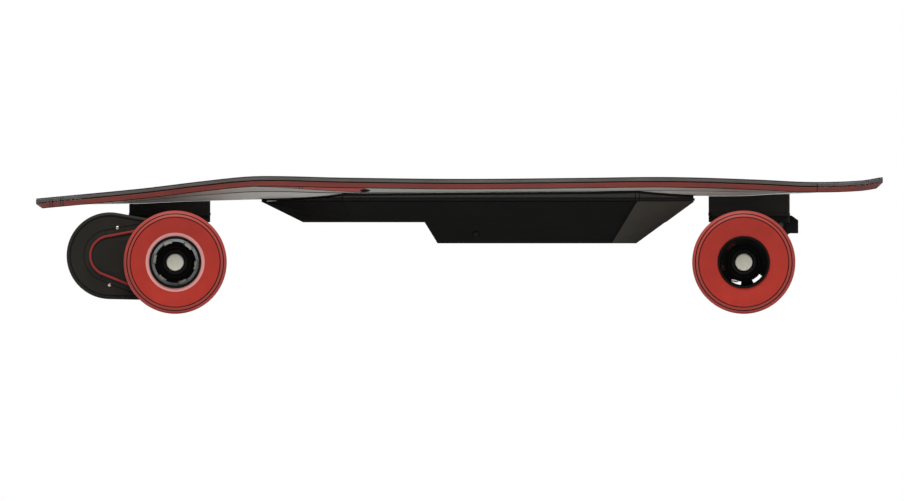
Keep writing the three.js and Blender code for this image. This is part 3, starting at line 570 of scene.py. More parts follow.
def rod(start, direction, radius, length, sides=32, end_radius=None, soft=0.0):
    last = radius if end_radius is None else end_radius
    mesh = turned([(0, 0), (radius, 0), (last, length), (0, length)], sides, soft)
    return aligned(mesh, start, direction)


def modify(obj, kind, **settings):
    configured(obj.modifiers.new(kind.lower(), kind), settings)


def settled(holder, helpers=()):
    """The mesh an object has after its modifiers; the object and its helpers are removed."""
    graph = bpy.context.evaluated_depsgraph_get()
    mesh = bpy.data.meshes.new_from_object(holder.evaluated_get(graph))
    for obj in (holder, *helpers):
        bpy.data.objects.remove(obj)
    return mesh


def combined(operation, base, tools):
    holder = linked("holder", base)
    helpers = []
    for tool in tools:
        helpers.append(linked("helper", tool))
        modify(holder, "BOOLEAN", operation=operation, solver="EXACT", object=helpers[-1])
    return settled(holder, helpers)


def cut(base, *tools):
    return combined("DIFFERENCE", base, tools)


def joined(base, *others):
    return combined("UNION", base, others)


def cast(mesh, voxel=0.9, rounds=4, keep=0.5):
    """Blends a joined shape's corners into cast fillets."""
    holder = linked("holder", mesh)
    modify(holder, "REMESH", mode="VOXEL", voxel_size=voxel * MM)
    modify(holder, "SMOOTH", factor=0.6, iterations=rounds)
    modify(holder, "DECIMATE", ratio=keep)
    return settled(holder)


def add(name, mesh, look, body, node=None, where=None, angle=32, bevel=0.0):
    """Puts a finished mesh in the scene, riding on a body and standing for a CAD node. A piece that
    blends between two bodies rides on neither."""
    for one in [look] if isinstance(look, str) else look:
        mesh.materials.append(LOOKS[one])
    mesh.shade_smooth()
    mesh.set_sharp_from_angle(angle=math.radians(angle))
    obj = linked(name, mesh)
    if where is not None:
        obj.matrix_world = where
    if bevel:
        modify(obj, "BEVEL", width=bevel * MM, segments=2, limit_method="ANGLE", angle_limit=math.radians(40))
    if node:
        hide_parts(node)
    if body:
        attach(obj, body)
    return obj


def kept(node, look):
    """A CAD node whose shape stays, with its own finish."""
    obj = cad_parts[node]
    obj.data.materials.clear()
    obj.data.materials.append(LOOKS[look])


# ---------------------------------------------------------------- deck
def follow(table, x):
    """A smooth line through the points of a table, level beyond its ends."""
    last = len(table) - 1
    if x <= table[0][0]:
        return table[0][1]
    if x >= table[last][0]:
        return table[last][1]
    i = 0
    while x > table[i + 1][0]:
        i += 1

    def tangent(k):
        a = table[max(k - 1, 0)]
        b = table[min(k + 1, last)]
        return (b[1] - a[1]) / (b[0] - a[0])

    x0, y0 = table[i]
    x1, y1 = table[i + 1]
    h = x1 - x0
    t = (x - x0) / h
    rise = y0 * (1 + 2 * t) * (1 - t) ** 2 + y1 * t * t * (3 - 2 * t)
    return rise + h * (tangent(i) * t * (1 - t) ** 2 - tangent(i + 1) * t * t * (1 - t))


def corner_at(x):
    """How far a station lies into the rounded end, its reach and the end's radius."""
    start, radius = TAIL_CORNER if x < 0 else NOSE_CORNER
    return max(0, abs(x) - abs(start)), DECK_LENGTH / 2 - abs(start), radius


def half_width(x):
    wide = follow(HALF_WIDTH, x)
    beyond, reach, radius = corner_at(x)
    share = min(beyond / reach, 1)
    return wide - radius * (1 - math.sqrt(1 - share * share))


def dish(t):
    if t >= CREASE:
        return CREASE_SHARE * (1 - t) / (1 - CREASE)
    return CREASE_SHARE + (1 - CREASE_SHARE) * (1 - (t / CREASE) ** 4)


def deck_top(x, y):
    t = min(abs(y) / half_width(x), 1)
    return follow(RAIL_TOP, x) - max(follow(DISH_DEPTH, x), 0) * dish(t)


def stations(end, corner_steps=10, spacing=8):
    tail = TAIL_CORNER[0]
    nose = NOSE_CORNER[0]
    steps = round((nose - tail) / spacing)
    quarter = [math.sin(i / corner_steps * math.pi / 2) for i in range(1, corner_steps + 1)]
    xs = [tail - (end + tail) * share for share in reversed(quarter)]
    xs += [tail + (nose - tail) * i / steps for i in range(steps + 1)]
    return xs + [nose + (end - nose) * share for share in quarter]


ACROSS = [-1, -0.94, -0.89, -0.84, -0.76, -0.66, -0.54, -0.41, -0.28, -0.14, 0]
ACROSS += [-t for t in reversed(ACROSS[:-1])]


def deck_layer(top, bottom, inset=0.0, bevel=0.0, rim=0.25, paints=(0, 0, 0, 0)):
    """A curved sheet between two depths below the deck's top. Paints are the material numbers of its
    top, side, bottom and lower rim. The bottom can stop short of the tips by a bevel."""
    xs = stations(DECK_LENGTH / 2 - inset)
    n = len(ACROSS) - 1
    rings = []
    spots = []
    for x in xs:
        beyond, reach, _ = corner_at(x)
        short = beyond / reach
        wide = half_width(x) - inset
        low_x = x - math.copysign(bevel * short * short, x)
        low_wide = half_width(low_x) - inset - bevel / 3 * short

        def sheet_point(t, px, half, depth, pull=0.0):
            y = t * (half - pull)
            spots.append((px * MM, t))
            return (px, y, deck_top(px, min(abs(y), half)) - depth)

        ring = [sheet_point(t, x, wide, top, rim) for t in ACROSS]
        ring.append(sheet_point(1, x, wide, top + rim))
        ring.append(sheet_point(1, low_x, low_wide, bottom - rim))
        ring += [sheet_point(t, low_x, low_wide, bottom, rim) for t in reversed(ACROSS)]
        ring.append(sheet_point(-1, low_x, low_wide, bottom - rim))
        ring.append(sheet_point(-1, x, wide, top + rim))
        rings.append(ring)
    count = len(rings[0])
    top_paint, side_paint, bottom_paint, rim_paint = paints
    kinds = [top_paint] * n + [top_paint, side_paint, rim_paint] + [bottom_paint] * n
    kinds += [rim_paint, side_paint, top_paint]
    points = [point for ring in rings for point in ring]
    faces = []
    colours = []
    for i in range(len(xs) - 1):
        for j in range(count):
            k = (j + 1) % count
            faces.append((i * count + j, i * count + k, (i + 1) * count + k, (i + 1) * count + j))
            colours.append(kinds[j])
    low = n + 3
    for end in (0, (len(xs) - 1) * count):
        for j in range(n):
            faces.append((end + j, end + j + 1, end + low + n - j - 1, end + low + n - j))
        faces.append((end + n, end + n + 1, end + n + 2, end + n + 3))
        faces.append((end, end + low + n, end + low + n + 1, end + low + n + 2))
        colours += [side_paint] * (n + 2)
    mesh = bpy.data.meshes.new("deck_layer")
    mesh.from_pydata([Vector(point) * MM for point in points], [], faces)
    chart = mesh.uv_layers.new(name="deck")
    for face, colour in zip(mesh.polygons, colours):
        face.material_index = colour
        for loop in face.loop_indices:
            chart.data[loop].uv = spots[mesh.loops[loop].vertex_index]
    with editing(mesh) as work:
        bmesh.ops.recalc_face_normals(work, faces=work.faces)
    return mesh


def deck_space(depth, height=60.0):
    """A solid, wider than the deck, that reaches up from a depth below its top, for cutting."""
    return deck_layer(depth - height, depth, inset=-20)


def make_deck():
    """From the top: grip sheet, grey plies, a dark glue line, red plies and the pale underside."""
    add("grip_sheet", deck_layer(*LAYERS["grip"]), "grip", "board", "grip_tape")
    add("upper_plies", deck_layer(*LAYERS["upper"]), "upper", "board", "deck_upper_laminate")
    add("glue_line", deck_layer(*LAYERS["line"]), "line", "board")
    lower = deck_layer(*LAYERS["lower"], bevel=6, rim=0.6, paints=(0, 0, 1, 2))
    add("lower_plies", lower, ["lower", "under", "line"], "board", "deck_lower_laminate")


def truck_frame(end):
    """The truck's own frame: X outward from the axle, Z up, origin on the axle."""
    place = at(ENDS[end] * AXLE_X, 0, AXLE_Z)
    return place if ENDS[end] > 0 else place @ HALF_TURN


def rounded_rectangle(x0, x1, half, radius, steps=6):
    right, left = x1 - radius, x0 + radius
    y = half - radius
    outline = []
    for quarter, (cx, cy) in enumerate(((right, y), (left, y), (left, -y), (right, -y))):
        start = quarter * math.pi / 2
        outline += arc(cx, cy, radius, start, start + math.pi / 2, steps)
    return outline


def make_riser(end):
    """A rubber pad with a wider foot on the baseplate, cut off at the deck's underside."""
    inner, outer, half, _, top = PLATE
    parts = []
    for start, stop, grow in ((top - 0.2, top + 2.6, 0.35), (top + 2.4, 90, 0)):
        outline = rounded_rectangle(inner - grow, outer + grow, half + grow, 3 + grow)
        parts.append(block(outline, start, stop, 0.4))
    body = joined(*parts)
    body.transform(truck_frame(end))
    body = cut(body, deck_space(DECK_THICKNESS + GAP))
    add(f"{end}_riser_pad", body, "riser", "board", f"{end}_riser", angle=25)


def bolt_head(socket=1.9):
    """A flat countersunk head with a hexagon socket, its top at the origin, drawn along Y downward."""
    head = turned([(0, -3.2), (socket, -3.2), (BOLT_R, -0.4), (BOLT_R, 0), (0, 0)], 32, 0.12)
    return cut(head, disc(socket, -2, 1, 6))


def hex_nut(radius, length, bore):
    """A nut with chamfered corners, drawn along Y from the origin."""
    cone = turned([(0, -0.01), (radius * 0.9, -0.01), (radius * 1.1, 1.2), (radius * 1.1, length - 1.2),
                   (radius * 0.9, length + 0.01), (0, length + 0.01)], 32)
    shaped = combined("INTERSECT", disc(radius, 0, length, 6), [cone])
    return cut(shaped, disc(bore, -1, length + 1, 32))


def make_bolts(end):
    """Four truck bolts: heads in the deck's top, nuts and thread ends under the baseplate."""
    place = truck_frame(end)
    under = PLATE[3]
    thread = 6.2
    for number, (u, y) in enumerate(BOLT_SPOTS, 1):
        x, side = ENDS[end] * (AXLE_X + u), ENDS[end] * y
        head = aligned(bolt_head(), (x, side, deck_top(x, side) + 0.25), UP)
        add(f"{end}_bolt_head_{number}", head, "bolt", "board")
        nut = aligned(hex_nut(BOLT_R, 5, 1.9), (u, y, under - 5.2), UP)
        add(f"{end}_bolt_nut_{number}", nut, "bolt", "board", where=place, bevel=0.12)
        stub = rod((u, y, under - thread), UP, 1.85, thread, 24, soft=0.3)
        add(f"{end}_bolt_end_{number}", stub, "bolt", "board", where=place)


# ---------------------------------------------------------------- trucks
STEER = Vector((math.cos(STEER_ANGLE), 0, math.sin(STEER_ANGLE)))
ACROSS_STEER = Vector((-math.sin(STEER_ANGLE), 0, math.cos(STEER_ANGLE)))
KINGPIN_UP = Vector((math.sin(KINGPIN_ANGLE), 0, math.cos(KINGPIN_ANGLE)))
RING_U = -16
RING_THICK = 9
PIVOT_DEPTH = 14
SEAT = RING_THICK / 2 + 15 + 2 * GAP


def on_steer(distance):
    return PIVOT_TIP - STEER * distance


RING_CENTRE = on_steer((PIVOT_TIP.x - RING_U) / math.cos(STEER_ANGLE))


def on_kingpin(height):
    return RING_CENTRE + KINGPIN_UP * height


def make_baseplate(end):
    """A plate with a pivot boss toward the board's end, a leaning kingpin seat and two ribs."""
    inner, outer, half, bottom, top = PLATE
    plate = block(rounded_rectangle(inner, outer, half, 3), bottom, top, 0.8)
    mouth = on_steer(PIVOT_DEPTH)
    lower = mouth - ACROSS_STEER * 10.5
    upper = mouth + ACROSS_STEER * 10.5
    boss = slab([
        (upper.x, bottom + 1), (upper.x, upper.z), (lower.x, lower.z), (40.2, 27.1), (51.2, 27.1),
        (51.2, 39.4), (45, top), (outer - 8, top),
    ], -RIB_Y, RIB_Y, 1.0)
    seat = rod(on_kingpin(SEAT), KINGPIN_UP, 15, KINGPIN_TOP - SEAT, 48, 17, soft=0.6)
    rib = [(0, bottom + 1), (0, 17), (5, 15), (9, 13), (14.5, 13), (19, 20), (lower.x - 1, lower.z + 9),
           (37, bottom + 1)]
    ribs = [slab(rib, y - 1.6, y + 1.6, 0.6) for y in (-RIB_Y, RIB_Y)]
    body = cut(
        joined(plate, boss, seat, *ribs),
        rod(on_kingpin(0), KINGPIN_UP, KINGPIN_BORE, 60, 32),
        rod(on_kingpin(KINGPIN_HEAD - GAP), KINGPIN_UP, 8.8, 30, 32),
        rod(mouth - STEER * 6, STEER, 8.3, PIVOT_DEPTH + 6, 40),
        block(rounded_rectangle(-90, 90, 90, 3), top, top + 40),
        *[rod((u, y, bottom - 5), UP, 2.6, 20, 24) for u, y in BOLT_SPOTS],
    )
    add(f"{end}_base_casting", body, "truck", "board", f"{end}_baseplate", truck_frame(end),
        bevel=0.5)


def make_hanger(end):
    """The cast beam with its kingpin ring and pivot nose, its corners blended as in a casting."""
    beam = turned([
        (0, -BEAM_END), (6.3, -BEAM_END), (6.3, -90), (9, -88), (9, -48), (11, -32),
        (11, 32), (9, 48), (9, 88), (6.3, 90), (6.3, BEAM_END), (0, BEAM_END),
    ], 48, 1.2)
    shoulder = on_steer(PIVOT_DEPTH + 2.6)
    low = shoulder - ACROSS_STEER * 7.5
    high = shoulder + ACROSS_STEER * 6
    web = slab([(-8, -3), (4, -10.5), (22, -4.5), (low.x, low.z), (high.x, high.z), (5.5, 8.5), (-4, 3.5)],
               -8, 8, 1.5)
    wings = slab([(-9, -5), (0, -10.5), (9, -5), (9, 4), (0, 8), (-6, 3)], -26, 26, 2.5)
    nose = rod(shoulder - STEER * 3, STEER, 5.8, 14.4, 40, 5, soft=0.8)
    half = RING_THICK / 2
    body = cut(
        joined(beam, web, wings, nose),
        rod(on_kingpin(half), KINGPIN_UP, 16, 18, 48),
        rod(on_kingpin(-half - 16), KINGPIN_UP, 15.4, 16, 48),
    )
    ring = rod(on_kingpin(-half), KINGPIN_UP, 16, RING_THICK, 64, soft=1.2)
    body = cut(
        cast(joined(body, ring), 0.75, 5, 0.35),
        rod(on_kingpin(-14), KINGPIN_UP, 8.8, 28, 48),
        disc(4.25, -130, 130, 40),
    )
    add(f"{end}_hanger_casting", body, "truck", f"{end}_truck", f"{end}_hanger", truck_frame(end),
        angle=50)


def make_axle(end):
    """The axle through both wheels, and a speed washer inside each wheel."""
    body = f"{end}_truck"
    place = at(ENDS[end] * AXLE_X, 0, AXLE_Z)
    axle = disc(3.95, -AXLE_END, AXLE_END, 40, 0.5)
    add(f"{end}_axle_rod", axle, "steel", body, f"{end}_axle", truck_frame(end))
    for side, sign in SIDES.items():
        near, far = sorted((95.95 * sign, 96.85 * sign))
        washer = tube(6.4, 4.2, near, far, 40, 0.15)
        add(f"{end}_{side}_speed_washer", washer, "steel", body, where=place)


def bushing_profile(low, high, length):
    """A barrel or cone of urethane with a slight swell between its seats."""
    line = [(5.2, 0), (low, 0)]
    for i in range(1, 8):
        t = i / 8
        line.append((low + (high - low) * t + 0.45 * math.sin(math.pi * t), length * t))
    return line + [(high, length), (5.2, length)]


def make_kingpin_stack(end):
    """Both bushings, the cup washer, nut and kingpin, and the pivot cup."""
    place = truck_frame(end)
    half = RING_THICK / 2
    lower_from = -half - GAP - 12
    washer_from = lower_from - GAP - 1.6
    nut_from = washer_from - GAP - 7
    for name, start, length, low, high in (
        ("upper", half + GAP, 15, 14.2, 11.5),
        ("lower", lower_from, 12, 11.5, 14.2),
    ):
        mesh = aligned(turned(bushing_profile(low, high, length), 64, 0.5), on_kingpin(start), KINGPIN_UP)
        mesh.transform(place)
        piece = add(f"{end}_{name}_bush", mesh, "bushing", None, f"{end}_{name}_bushing")
        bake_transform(piece)
    dished = turned([(5.2, 0), (13.4, 0), (15.2, 1.0), (15.2, 1.6), (13.6, 1.5), (5.2, 1.5)], 64, 0.2)
    dished = aligned(dished, on_kingpin(washer_from), KINGPIN_UP)
    add(f"{end}_dished_washer", dished, "steel", "board", f"{end}_cup_washer", place)
    nut = joined(hex_nut(8.4, 6, KINGPIN_BORE), tube(6.4, KINGPIN_BORE, 5.4, 7, 48, 0.3))
    add(f"{end}_lock_nut", aligned(nut, on_kingpin(nut_from), KINGPIN_UP), "steel", "board",
        f"{end}_kingpin_nut", place, bevel=0.15)
    pin = turned([
        (0, nut_from - 1.5), (4.8, nut_from - 1.5), (4.8, KINGPIN_HEAD), (8.2, KINGPIN_HEAD),
        (8.2, KINGPIN_TOP), (0, KINGPIN_TOP),
    ], 48, 0.5)
    add(f"{end}_kingpin_bolt", aligned(pin, RING_CENTRE, KINGPIN_UP), "steel", "board",
        f"{end}_kingpin", place)
    length = PIVOT_DEPTH - GAP
    floor = length - 1.8
    cup = turned([(6.2, 0), (8, 0), (8, length), (0, length), (0, floor), (6.2, floor)], 48, 0.4)
    add(f"{end}_cup", aligned(cup, on_steer(PIVOT_DEPTH), STEER), "bushing", "board",
        f"{end}_pivot_cup", place)


# ---------------------------------------------------------------- wheels
def sector(centre, half, inner, outer, steps=7, notch=0.0):
    """A piece of a ring, for one window through a core. Notches can be cut into its inner edge."""
    start, stop = math.radians(centre - half), math.radians(centre + half)
    outline = arc(0, 0, outer, start, stop, steps)
    for i, point in enumerate(arc(0, 0, 1, stop, start, steps)):
        radius = inner + (notch if i % 4 in (1, 2) else 0)
        outline.append((radius * point[0], radius * point[1]))
    return outline


def window(number, steps=8, notch=0.0, angle=REAR_ANGLE):
    """The outline of one of a core's windows, the first of them at an angle."""
    centre = angle + number * 360 / WINDOWS
    return sector(centre, WINDOW["half"], WINDOW["inner"], WINDOW["outer"], steps, notch)


def make_tyre(name, place, driven):
    flank = [
        (24.6, 21.0), (24.35, 21.8), (24.8, 22.2), (27.7, 22.6), (34, 24.0), (41.9, 25.95), (42.3, 25.5),
        (42.8, 25.95), (44.9, 24.75), (45.4, 24.1), (45.9, 24.1), (47.6, 22.6), (48.35, 21.2),
        (WHEEL_R, 19.4),
    ]
    tyre = turned(flank + [(r, -y) for r, y in reversed(flank)], 128, 0.25)
    look = "drive_tyre" if driven else "tyre"
    add(f"{name}_urethane", tyre, look, f"{name}_wheel", f"{name}_tyre", place, angle=40)


def make_core(name, place, angle):
    """A rim, a web with six windows, and a hub that holds the bearings."""
    reach = 12 + GAP
    near, far = HUB - reach, HUB + reach
    rim = [(22.5, CORE_HALF), (24.2, CORE_HALF), (24.3, CORE_HALF - 1.2), (CORE_R, CORE_HALF - 2)]
    solid = turned([
        (BEARING_R, near), (12.6, near), (13.2, near + 0.8), (15.5, near + 0.8), (15.5, -2), (22.5, -2),
        *[(r, -y) for r, y in rim], *reversed(rim), (22.5, 10), (15.5, 10), (15.5, far), (BEARING_R, far),
    ], 96, 0.35)
    windows = [slab(window(i, 9, 0.8, angle), -5, 13, 0.01) for i in range(WINDOWS)]
    core = cut(solid, *windows)
    add(f"{name}_spokes", core, "core", f"{name}_wheel", f"{name}_core", place, bevel=0.25)


def make_bearings(name, place):
    body = f"{name}_wheel"
    for which, near, far in (("outer", HUB - 12, HUB - 5), ("inner", HUB + 5, HUB + 12)):
        race = turned([
            (4.15, near), (6.0, near), (6.3, near + 0.5), (8.9, near + 0.5), (9.2, near), (10.9, near),
            (10.9, far), (9.2, far), (8.9, far - 0.5), (6.3, far - 0.5), (6.0, far), (4.15, far),
        ], 64, 0.15)
        add(f"{name}_{which}_race", race, "dark_steel", body, f"{name}_{which}_bearing", place)
        seals = joined(*[tube(8.85, 6.35, y, y + 0.35, 64, 0.08) for y in (near + 0.15, far - 0.5)])
        add(f"{name}_{which}_seals", seals, "seal", body, where=place)


def make_wheel(end, side):
    """One wheel; its outer face looks along -Y before it is turned to its side."""
    name = f"{end}_{side}"
    right = side == "right"
    angle = FRONT_ANGLE if end == "front" else REAR_ANGLE
    place = at(ENDS[end] * AXLE_X, SIDES[side] * WHEEL_Y, AXLE_Z)
    if not right:
        place = place @ HALF_TURN
    make_tyre(name, place, driven=end == "rear" and right)
    make_core(name, place, angle if right else 180 - angle)
    make_bearings(name, place)

    start = HUB - 12 - GAP
    nut = turned([
        (0, start - 8.2), (7.5, start - 8.2), (8.4, start - 7.4), (8.4, start), (4.25, start), (4.25, -12.5),
        (0, -12.5),
    ], 64, 0.35)
    add(f"{name}_cap_nut", nut, "steel", f"{end}_truck", f"{name}_axle_nut", place)


# ---------------------------------------------------------------- belt drive
def around_drive(radii, grow=0.0, steps=40):
    """The outline round two circles and their outer tangents, from the radius round the wheel's axis,
    at the origin, and the one round the motor's, both grown outward."""
    first, second = (radius + grow for radius in radii)
    heading = math.atan2(MOTOR_Z, MOTOR_X)
    lean = math.acos((first - second) / math.hypot(MOTOR_X, MOTOR_Z))
    round_wheel = arc(0, 0, first, heading + lean, heading + 2 * math.pi - lean, steps)
    return round_wheel + arc(MOTOR_X, MOTOR_Z, second, heading - lean, heading + lean, steps)


def open_run(radii, grow, limit, steps=40):
    """The part of that outline that goes round the motor, from x = limit back to x = limit."""
    outline = around_drive(radii, grow, steps)
    motor_arc = outline[steps + 1:]
    ends = []
    for near, far in ((motor_arc[0], outline[steps]), (motor_arc[-1], outline[0])):
        share = (limit - near[0]) / (far[0] - near[0])
        ends.append((limit, near[1] + share * (far[1] - near[1])))
    return [ends[0], *motor_arc, ends[1]]


def shell_of(rings):
    """A closed body from (outline, y) rings that wrap round."""
    return loft([[(x, y, z) for x, z in outline] for outline, y in rings], wrap=True)


def swept(radii, section, steps=56):
    """A closed body with one section all the way round the drive, from (outward, y) points."""
    return shell_of([(around_drive(radii, grow, steps), y) for grow, y in section])


def tip_radius(teeth):
    """A pulley's outer radius: its pitch radius less the belt's pitch line offset."""
    return teeth * PITCH / (2 * math.pi) - 0.57


def toothed(teeth, pull=0.0):
    """A pulley's outline with rounded trapezoid teeth."""
    tip = tip_radius(teeth) - pull
    root = tip - 1.6
    half_tooth = [(0.06, root), (0.11, root + 0.4), (0.2, tip - 0.25), (0.26, tip)]
    spots = half_tooth + [(1 - share, radius) for share, radius in reversed(half_tooth)]
    outline = []
    for i in range(teeth):
        for share, radius in spots:
            turn = (i + share - 0.5) / teeth * 2 * math.pi
            outline.append((radius * math.cos(turn), radius * math.sin(turn)))
    return outline


def ring_points(radius, teeth):
    """A plain circle with as many points as a toothed outline, at the same angles."""
    return [(radius * p.x / p.length, radius * p.y / p.length) for p in map(Vector, toothed(teeth))]


def toothed_tube(teeth, bore):
    full, eased_off, hole = toothed(teeth), toothed(teeth, 0.4), ring_points(bore, teeth)
    return shell_of([
        (eased_off, BELT_FROM), (full, BELT_FROM + 0.4), (full, BELT_TO - 0.4), (eased_off, BELT_TO),
        (hole, BELT_TO), (hole, BELT_FROM),
    ])


def belt_pulley(teeth, bore, flange_bore, sides, soft, *others):
    """A toothed pulley between two flanges, joined with what else belongs to it."""
    flange = tip_radius(teeth) + 3
    return joined(
        toothed_tube(teeth, bore),
        tube(flange, flange_bore, BELT_TO - 0.1, -BACK_OUT - GAP - 0.4, sides, soft),
        tube(flange, flange_bore, BELT_FROM - 1.2, BELT_FROM + 0.1, sides, soft),
        *others,
    )


def make_pulleys(place, at_motor):
    """The wheel's pulley reaches through the core's windows into a clamp ring on its far face."""
    web_at = -(WHEEL_Y - 10 - GAP)
    face = -(WHEEL_Y + 2 + GAP)
    sleeve = tube(22, 15.9, web_at, BELT_FROM - 0.5, 96, 0.4)
    lobes = [slab(sector(REAR_ANGLE + i * 360 / WINDOWS, 11.5, 18.2, 21.0, 8), face - 2, web_at + 1, 0.4)
             for i in range(WINDOWS)]
    add("drive_pulley", belt_pulley(WHEEL_TEETH, 12.5, 12, 96, 0.4, sleeve, *lobes), "pulley",
        "rear_right_wheel", "wheel_pulley", place, angle=28)
    notches = [slab(window(i), face - 3.3, face + 1, 0.01) for i in range(WINDOWS)]
    ring = cut(tube(22.2, 19.4, face - 2.3, face, 96, 0.4), *notches)
    add("clamp_ring", ring, "ring", "rear_right_wheel", "pulley_clamp_ring", place)
    pinion = belt_pulley(MOTOR_TEETH, 4.3, 4.3, 64, 0.3)
    add("pinion", pinion, "alloy", "motor_rotor", "motor_pulley", at_motor, angle=28)


def make_belt(place):
    clear = 0.4
    half = 6
    thick = 2.2
    middle = (BELT_FROM + BELT_TO) / 2
    inside = [tip_radius(teeth) + clear for teeth in (WHEEL_TEETH, MOTOR_TEETH)]
    section = [(0, -half + 0.4), (0.4, -half), (thick - 0.4, -half), (thick, -half + 0.4)]
    section += [(grow, -y) for grow, y in reversed(section)]
    belt = swept(inside, [(grow, middle + y) for grow, y in section], 72)
    add("toothed_belt", belt, "rubber", "rear_truck", "drive_belt", place)


def screw(profile, socket, start, stop, soft):
    """A turned screw head with a hexagon socket."""
    return cut(turned(profile, 32, soft), disc(socket, start, stop, 6))


def make_cover(place):
    """The cover's shell with a lip round its rim, a flat face, a hole for the wheel and two screws."""
    wall = 2.4
    front = -FACE_OUT
    rim = -BACK_OUT - GAP
    face, room = (COVER_OPENING, 14), (33.6, 38.4)
    outside = [(around_drive(COVER, -inset), y) for inset, y in (
        (0, rim), (0, front + 2.2), (0.6, front + 0.9), (1.6, front + 0.2), (2.6, front), (3.1, front + 0.35),
        (3.5, front + 0.05),
    )]
    inside = [(around_drive(radii), y) for radii, y in (
        (face, front), (face, front + wall), ((31, 36), front + wall), (room, front + wall + 2), (room, rim),
    )]
    plate = slab(around_drive(face, 0.2), front, front + wall, 0.05)
    screws = [(MOTOR_X + 7.0, MOTOR_Z + 26.3), (MOTOR_X - 0.4, MOTOR_Z - 27.5)]
    wells = [moved(disc(1.9, -90, front + 0.8, 32), x, 0, z) for x, z in screws]
    cover = cut(joined(shell_of(outside + inside), plate), disc(COVER_OPENING, -120, -10, 96), *wells)
    add("cover_outer", cover, "cover", "rear_truck", "belt_cover_outer", place, angle=30)
    for number, (x, z) in enumerate(screws, 1):
        head = screw([(0, front), (0.8, front), (1.6, front + 0.35), (1.6, front + 0.75), (0, front + 0.75)],
                     0.6, front - 1, front + 0.3, 0.1)
        add(f"cover_screw_{number}", moved(head, x, -0.2, z), "steel", "rear_truck", where=place)


def make_cover_lines(place):
    """The red line, a dark line inside the rim, and a dark contour with two ticks round the motor."""
    front = -FACE_OUT
    half, out, inside = 1.05, front - 1, front - GAP / 2
    section = [(-half, inside), (-half, out + 0.3), (-half + 0.3, out)]
    section += [(-grow, y) for grow, y in reversed(section)]
    add("cover_red_line", swept((35.6, 18.5), section), "trim", "rear_truck", "belt_cover_trim",
        place)

    proud, sunk = front - 0.12, front + LINE_DEPTH
    edge = swept((32.4, 37.2), [(-0.35, sunk), (-0.35, proud), (0.35, proud), (0.35, sunk)])
    add("cover_edge_line", edge, "line", "rear_truck", where=place)
    outer_side, inner_side = (open_run((41.5, 24.6), grow, -33) for grow in (0.3, -0.3))
    contour = slab(outer_side + inner_side[::-1], proud, sunk, 0.01)
    ticks = []
    for lean, rise in ((-0.193, 0.981), (-0.371, -0.928)):
        quad = [(MOTOR_X + reach * lean + wide * rise, MOTOR_Z + reach * rise - wide * lean)
                for reach, wide in ((18, -0.25), (24.6, -0.25), (24.6, 0.25), (18, 0.25))]
        ticks.append(slab(quad, proud, sunk, 0.01))
    add("cover_contour_line", joined(contour, *ticks), "line", "rear_truck", where=place)


def make_cover_back(place):
    back = cut(
        slab(around_drive(COVER), -BACK_OUT, MOUNT_FROM - GAP, 0.4),
        moved(disc(8, -120, 0), MOTOR_X, 0, MOTOR_Z),
        disc(10.4, -120, 0),
    )
    add("cover_back", back, "cover", "rear_truck", "belt_cover_inner", place)


def make_mount(place):
    """The plate that clamps on the hanger, with a slit at the clamp and four sunk motor screws."""
    openings = [
        moved(disc(8, -120, 0), MOTOR_X, 0, MOTOR_Z),
        disc(9.6, -120, 0),
        slab([(2, -0.8), (22, -0.8), (22, 0.8), (2, 0.8)], -72, -50, 0.01),
    ]
    spots = arc(MOTOR_X, MOTOR_Z, MOTOR_SCREW_RING, math.pi / 4, 7 * math.pi / 4, 3)
    for turn, (x, z) in zip((45, 135, 225, 315), spots):
        openings.append(moved(disc(2, -80, -40, 24), x, 0, z))
        openings.append(moved(disc(3.6, -80, -62.4, 32), x, 0, z))
        head = screw([(0, -64.9), (2.6, -64.9), (3.2, -64.3), (3.2, -62.5), (0, -62.5)], 1.4, -66, -63.6, 0.2)
        add(f"motor_screw_{turn}", moved(head, x, 0, z), "bolt", "rear_truck", where=place)
    plate = cut(slab(around_drive((16, 23)), MOUNT_FROM, MOUNT_TO, 1.0), *openings)
    add("motor_plate", plate, "alloy", "rear_truck", "motor_mount", place, bevel=0.3)


def make_motor(at_motor):
    """An outrunner: a flange with coils on a fixed core, and a bell with vents turning round them."""
    face = MOUNT_TO + GAP
    end = -MOTOR_INNER
    flange = turned([
        (5, face), (22, face), (24.2, face + 2), (24.2, face + 5), (10, face + 5), (10, face + 8),
        (12, face + 8), (12, end - 6), (5, end - 6),
    ], 64, 0.3)
    add("motor_flange", flange, "alloy", "rear_truck", "motor_stator", at_motor)
    first, last = face + 9, end - 7
    for i in range(COILS):
        spot = at_motor @ Matrix.Rotation(2 * math.pi * i / COILS, 4, "Y")
        coil = slab(rounded_rectangle(12.4, 19.6, 2.6, 1.1, 4), first, last, 1.2)
        add(f"winding_{i + 1:02d}", coil, "copper", "rear_truck", where=spot)
        shoe = slab([(19.9, -4.6), (21.2, -4.8), (21.2, 4.8), (19.9, 4.6)], first + 1, last - 1, 0.3)
        add(f"stator_shoe_{i + 1:02d}", shoe, "dark_steel", "rear_truck", where=spot)

    opened = face + 5.6
    inside = MOTOR_R - 2.6
    can = turned([
        (0, end), (MOTOR_R - 1.5, end), (MOTOR_R, end - 1.5), (MOTOR_R, -24), (MOTOR_R - 0.5, -24.4),
        (MOTOR_R - 0.5, -25.2), (MOTOR_R, -25.6), (MOTOR_R, opened), (inside, opened), (inside, end - 4),
        (4, end - 4), (4, BELT_FROM - 1), (0, BELT_FROM - 1),
    ], 96, 0.3)
    vents = [slab(sector(60 * i, 20, 9.5, 19.5, 8), end - 6, end + 2, 0.01) for i in range(6)]
    add("motor_bell", cut(can, *vents), "can", "motor_rotor", "motor_rotor", at_motor, bevel=0.3)


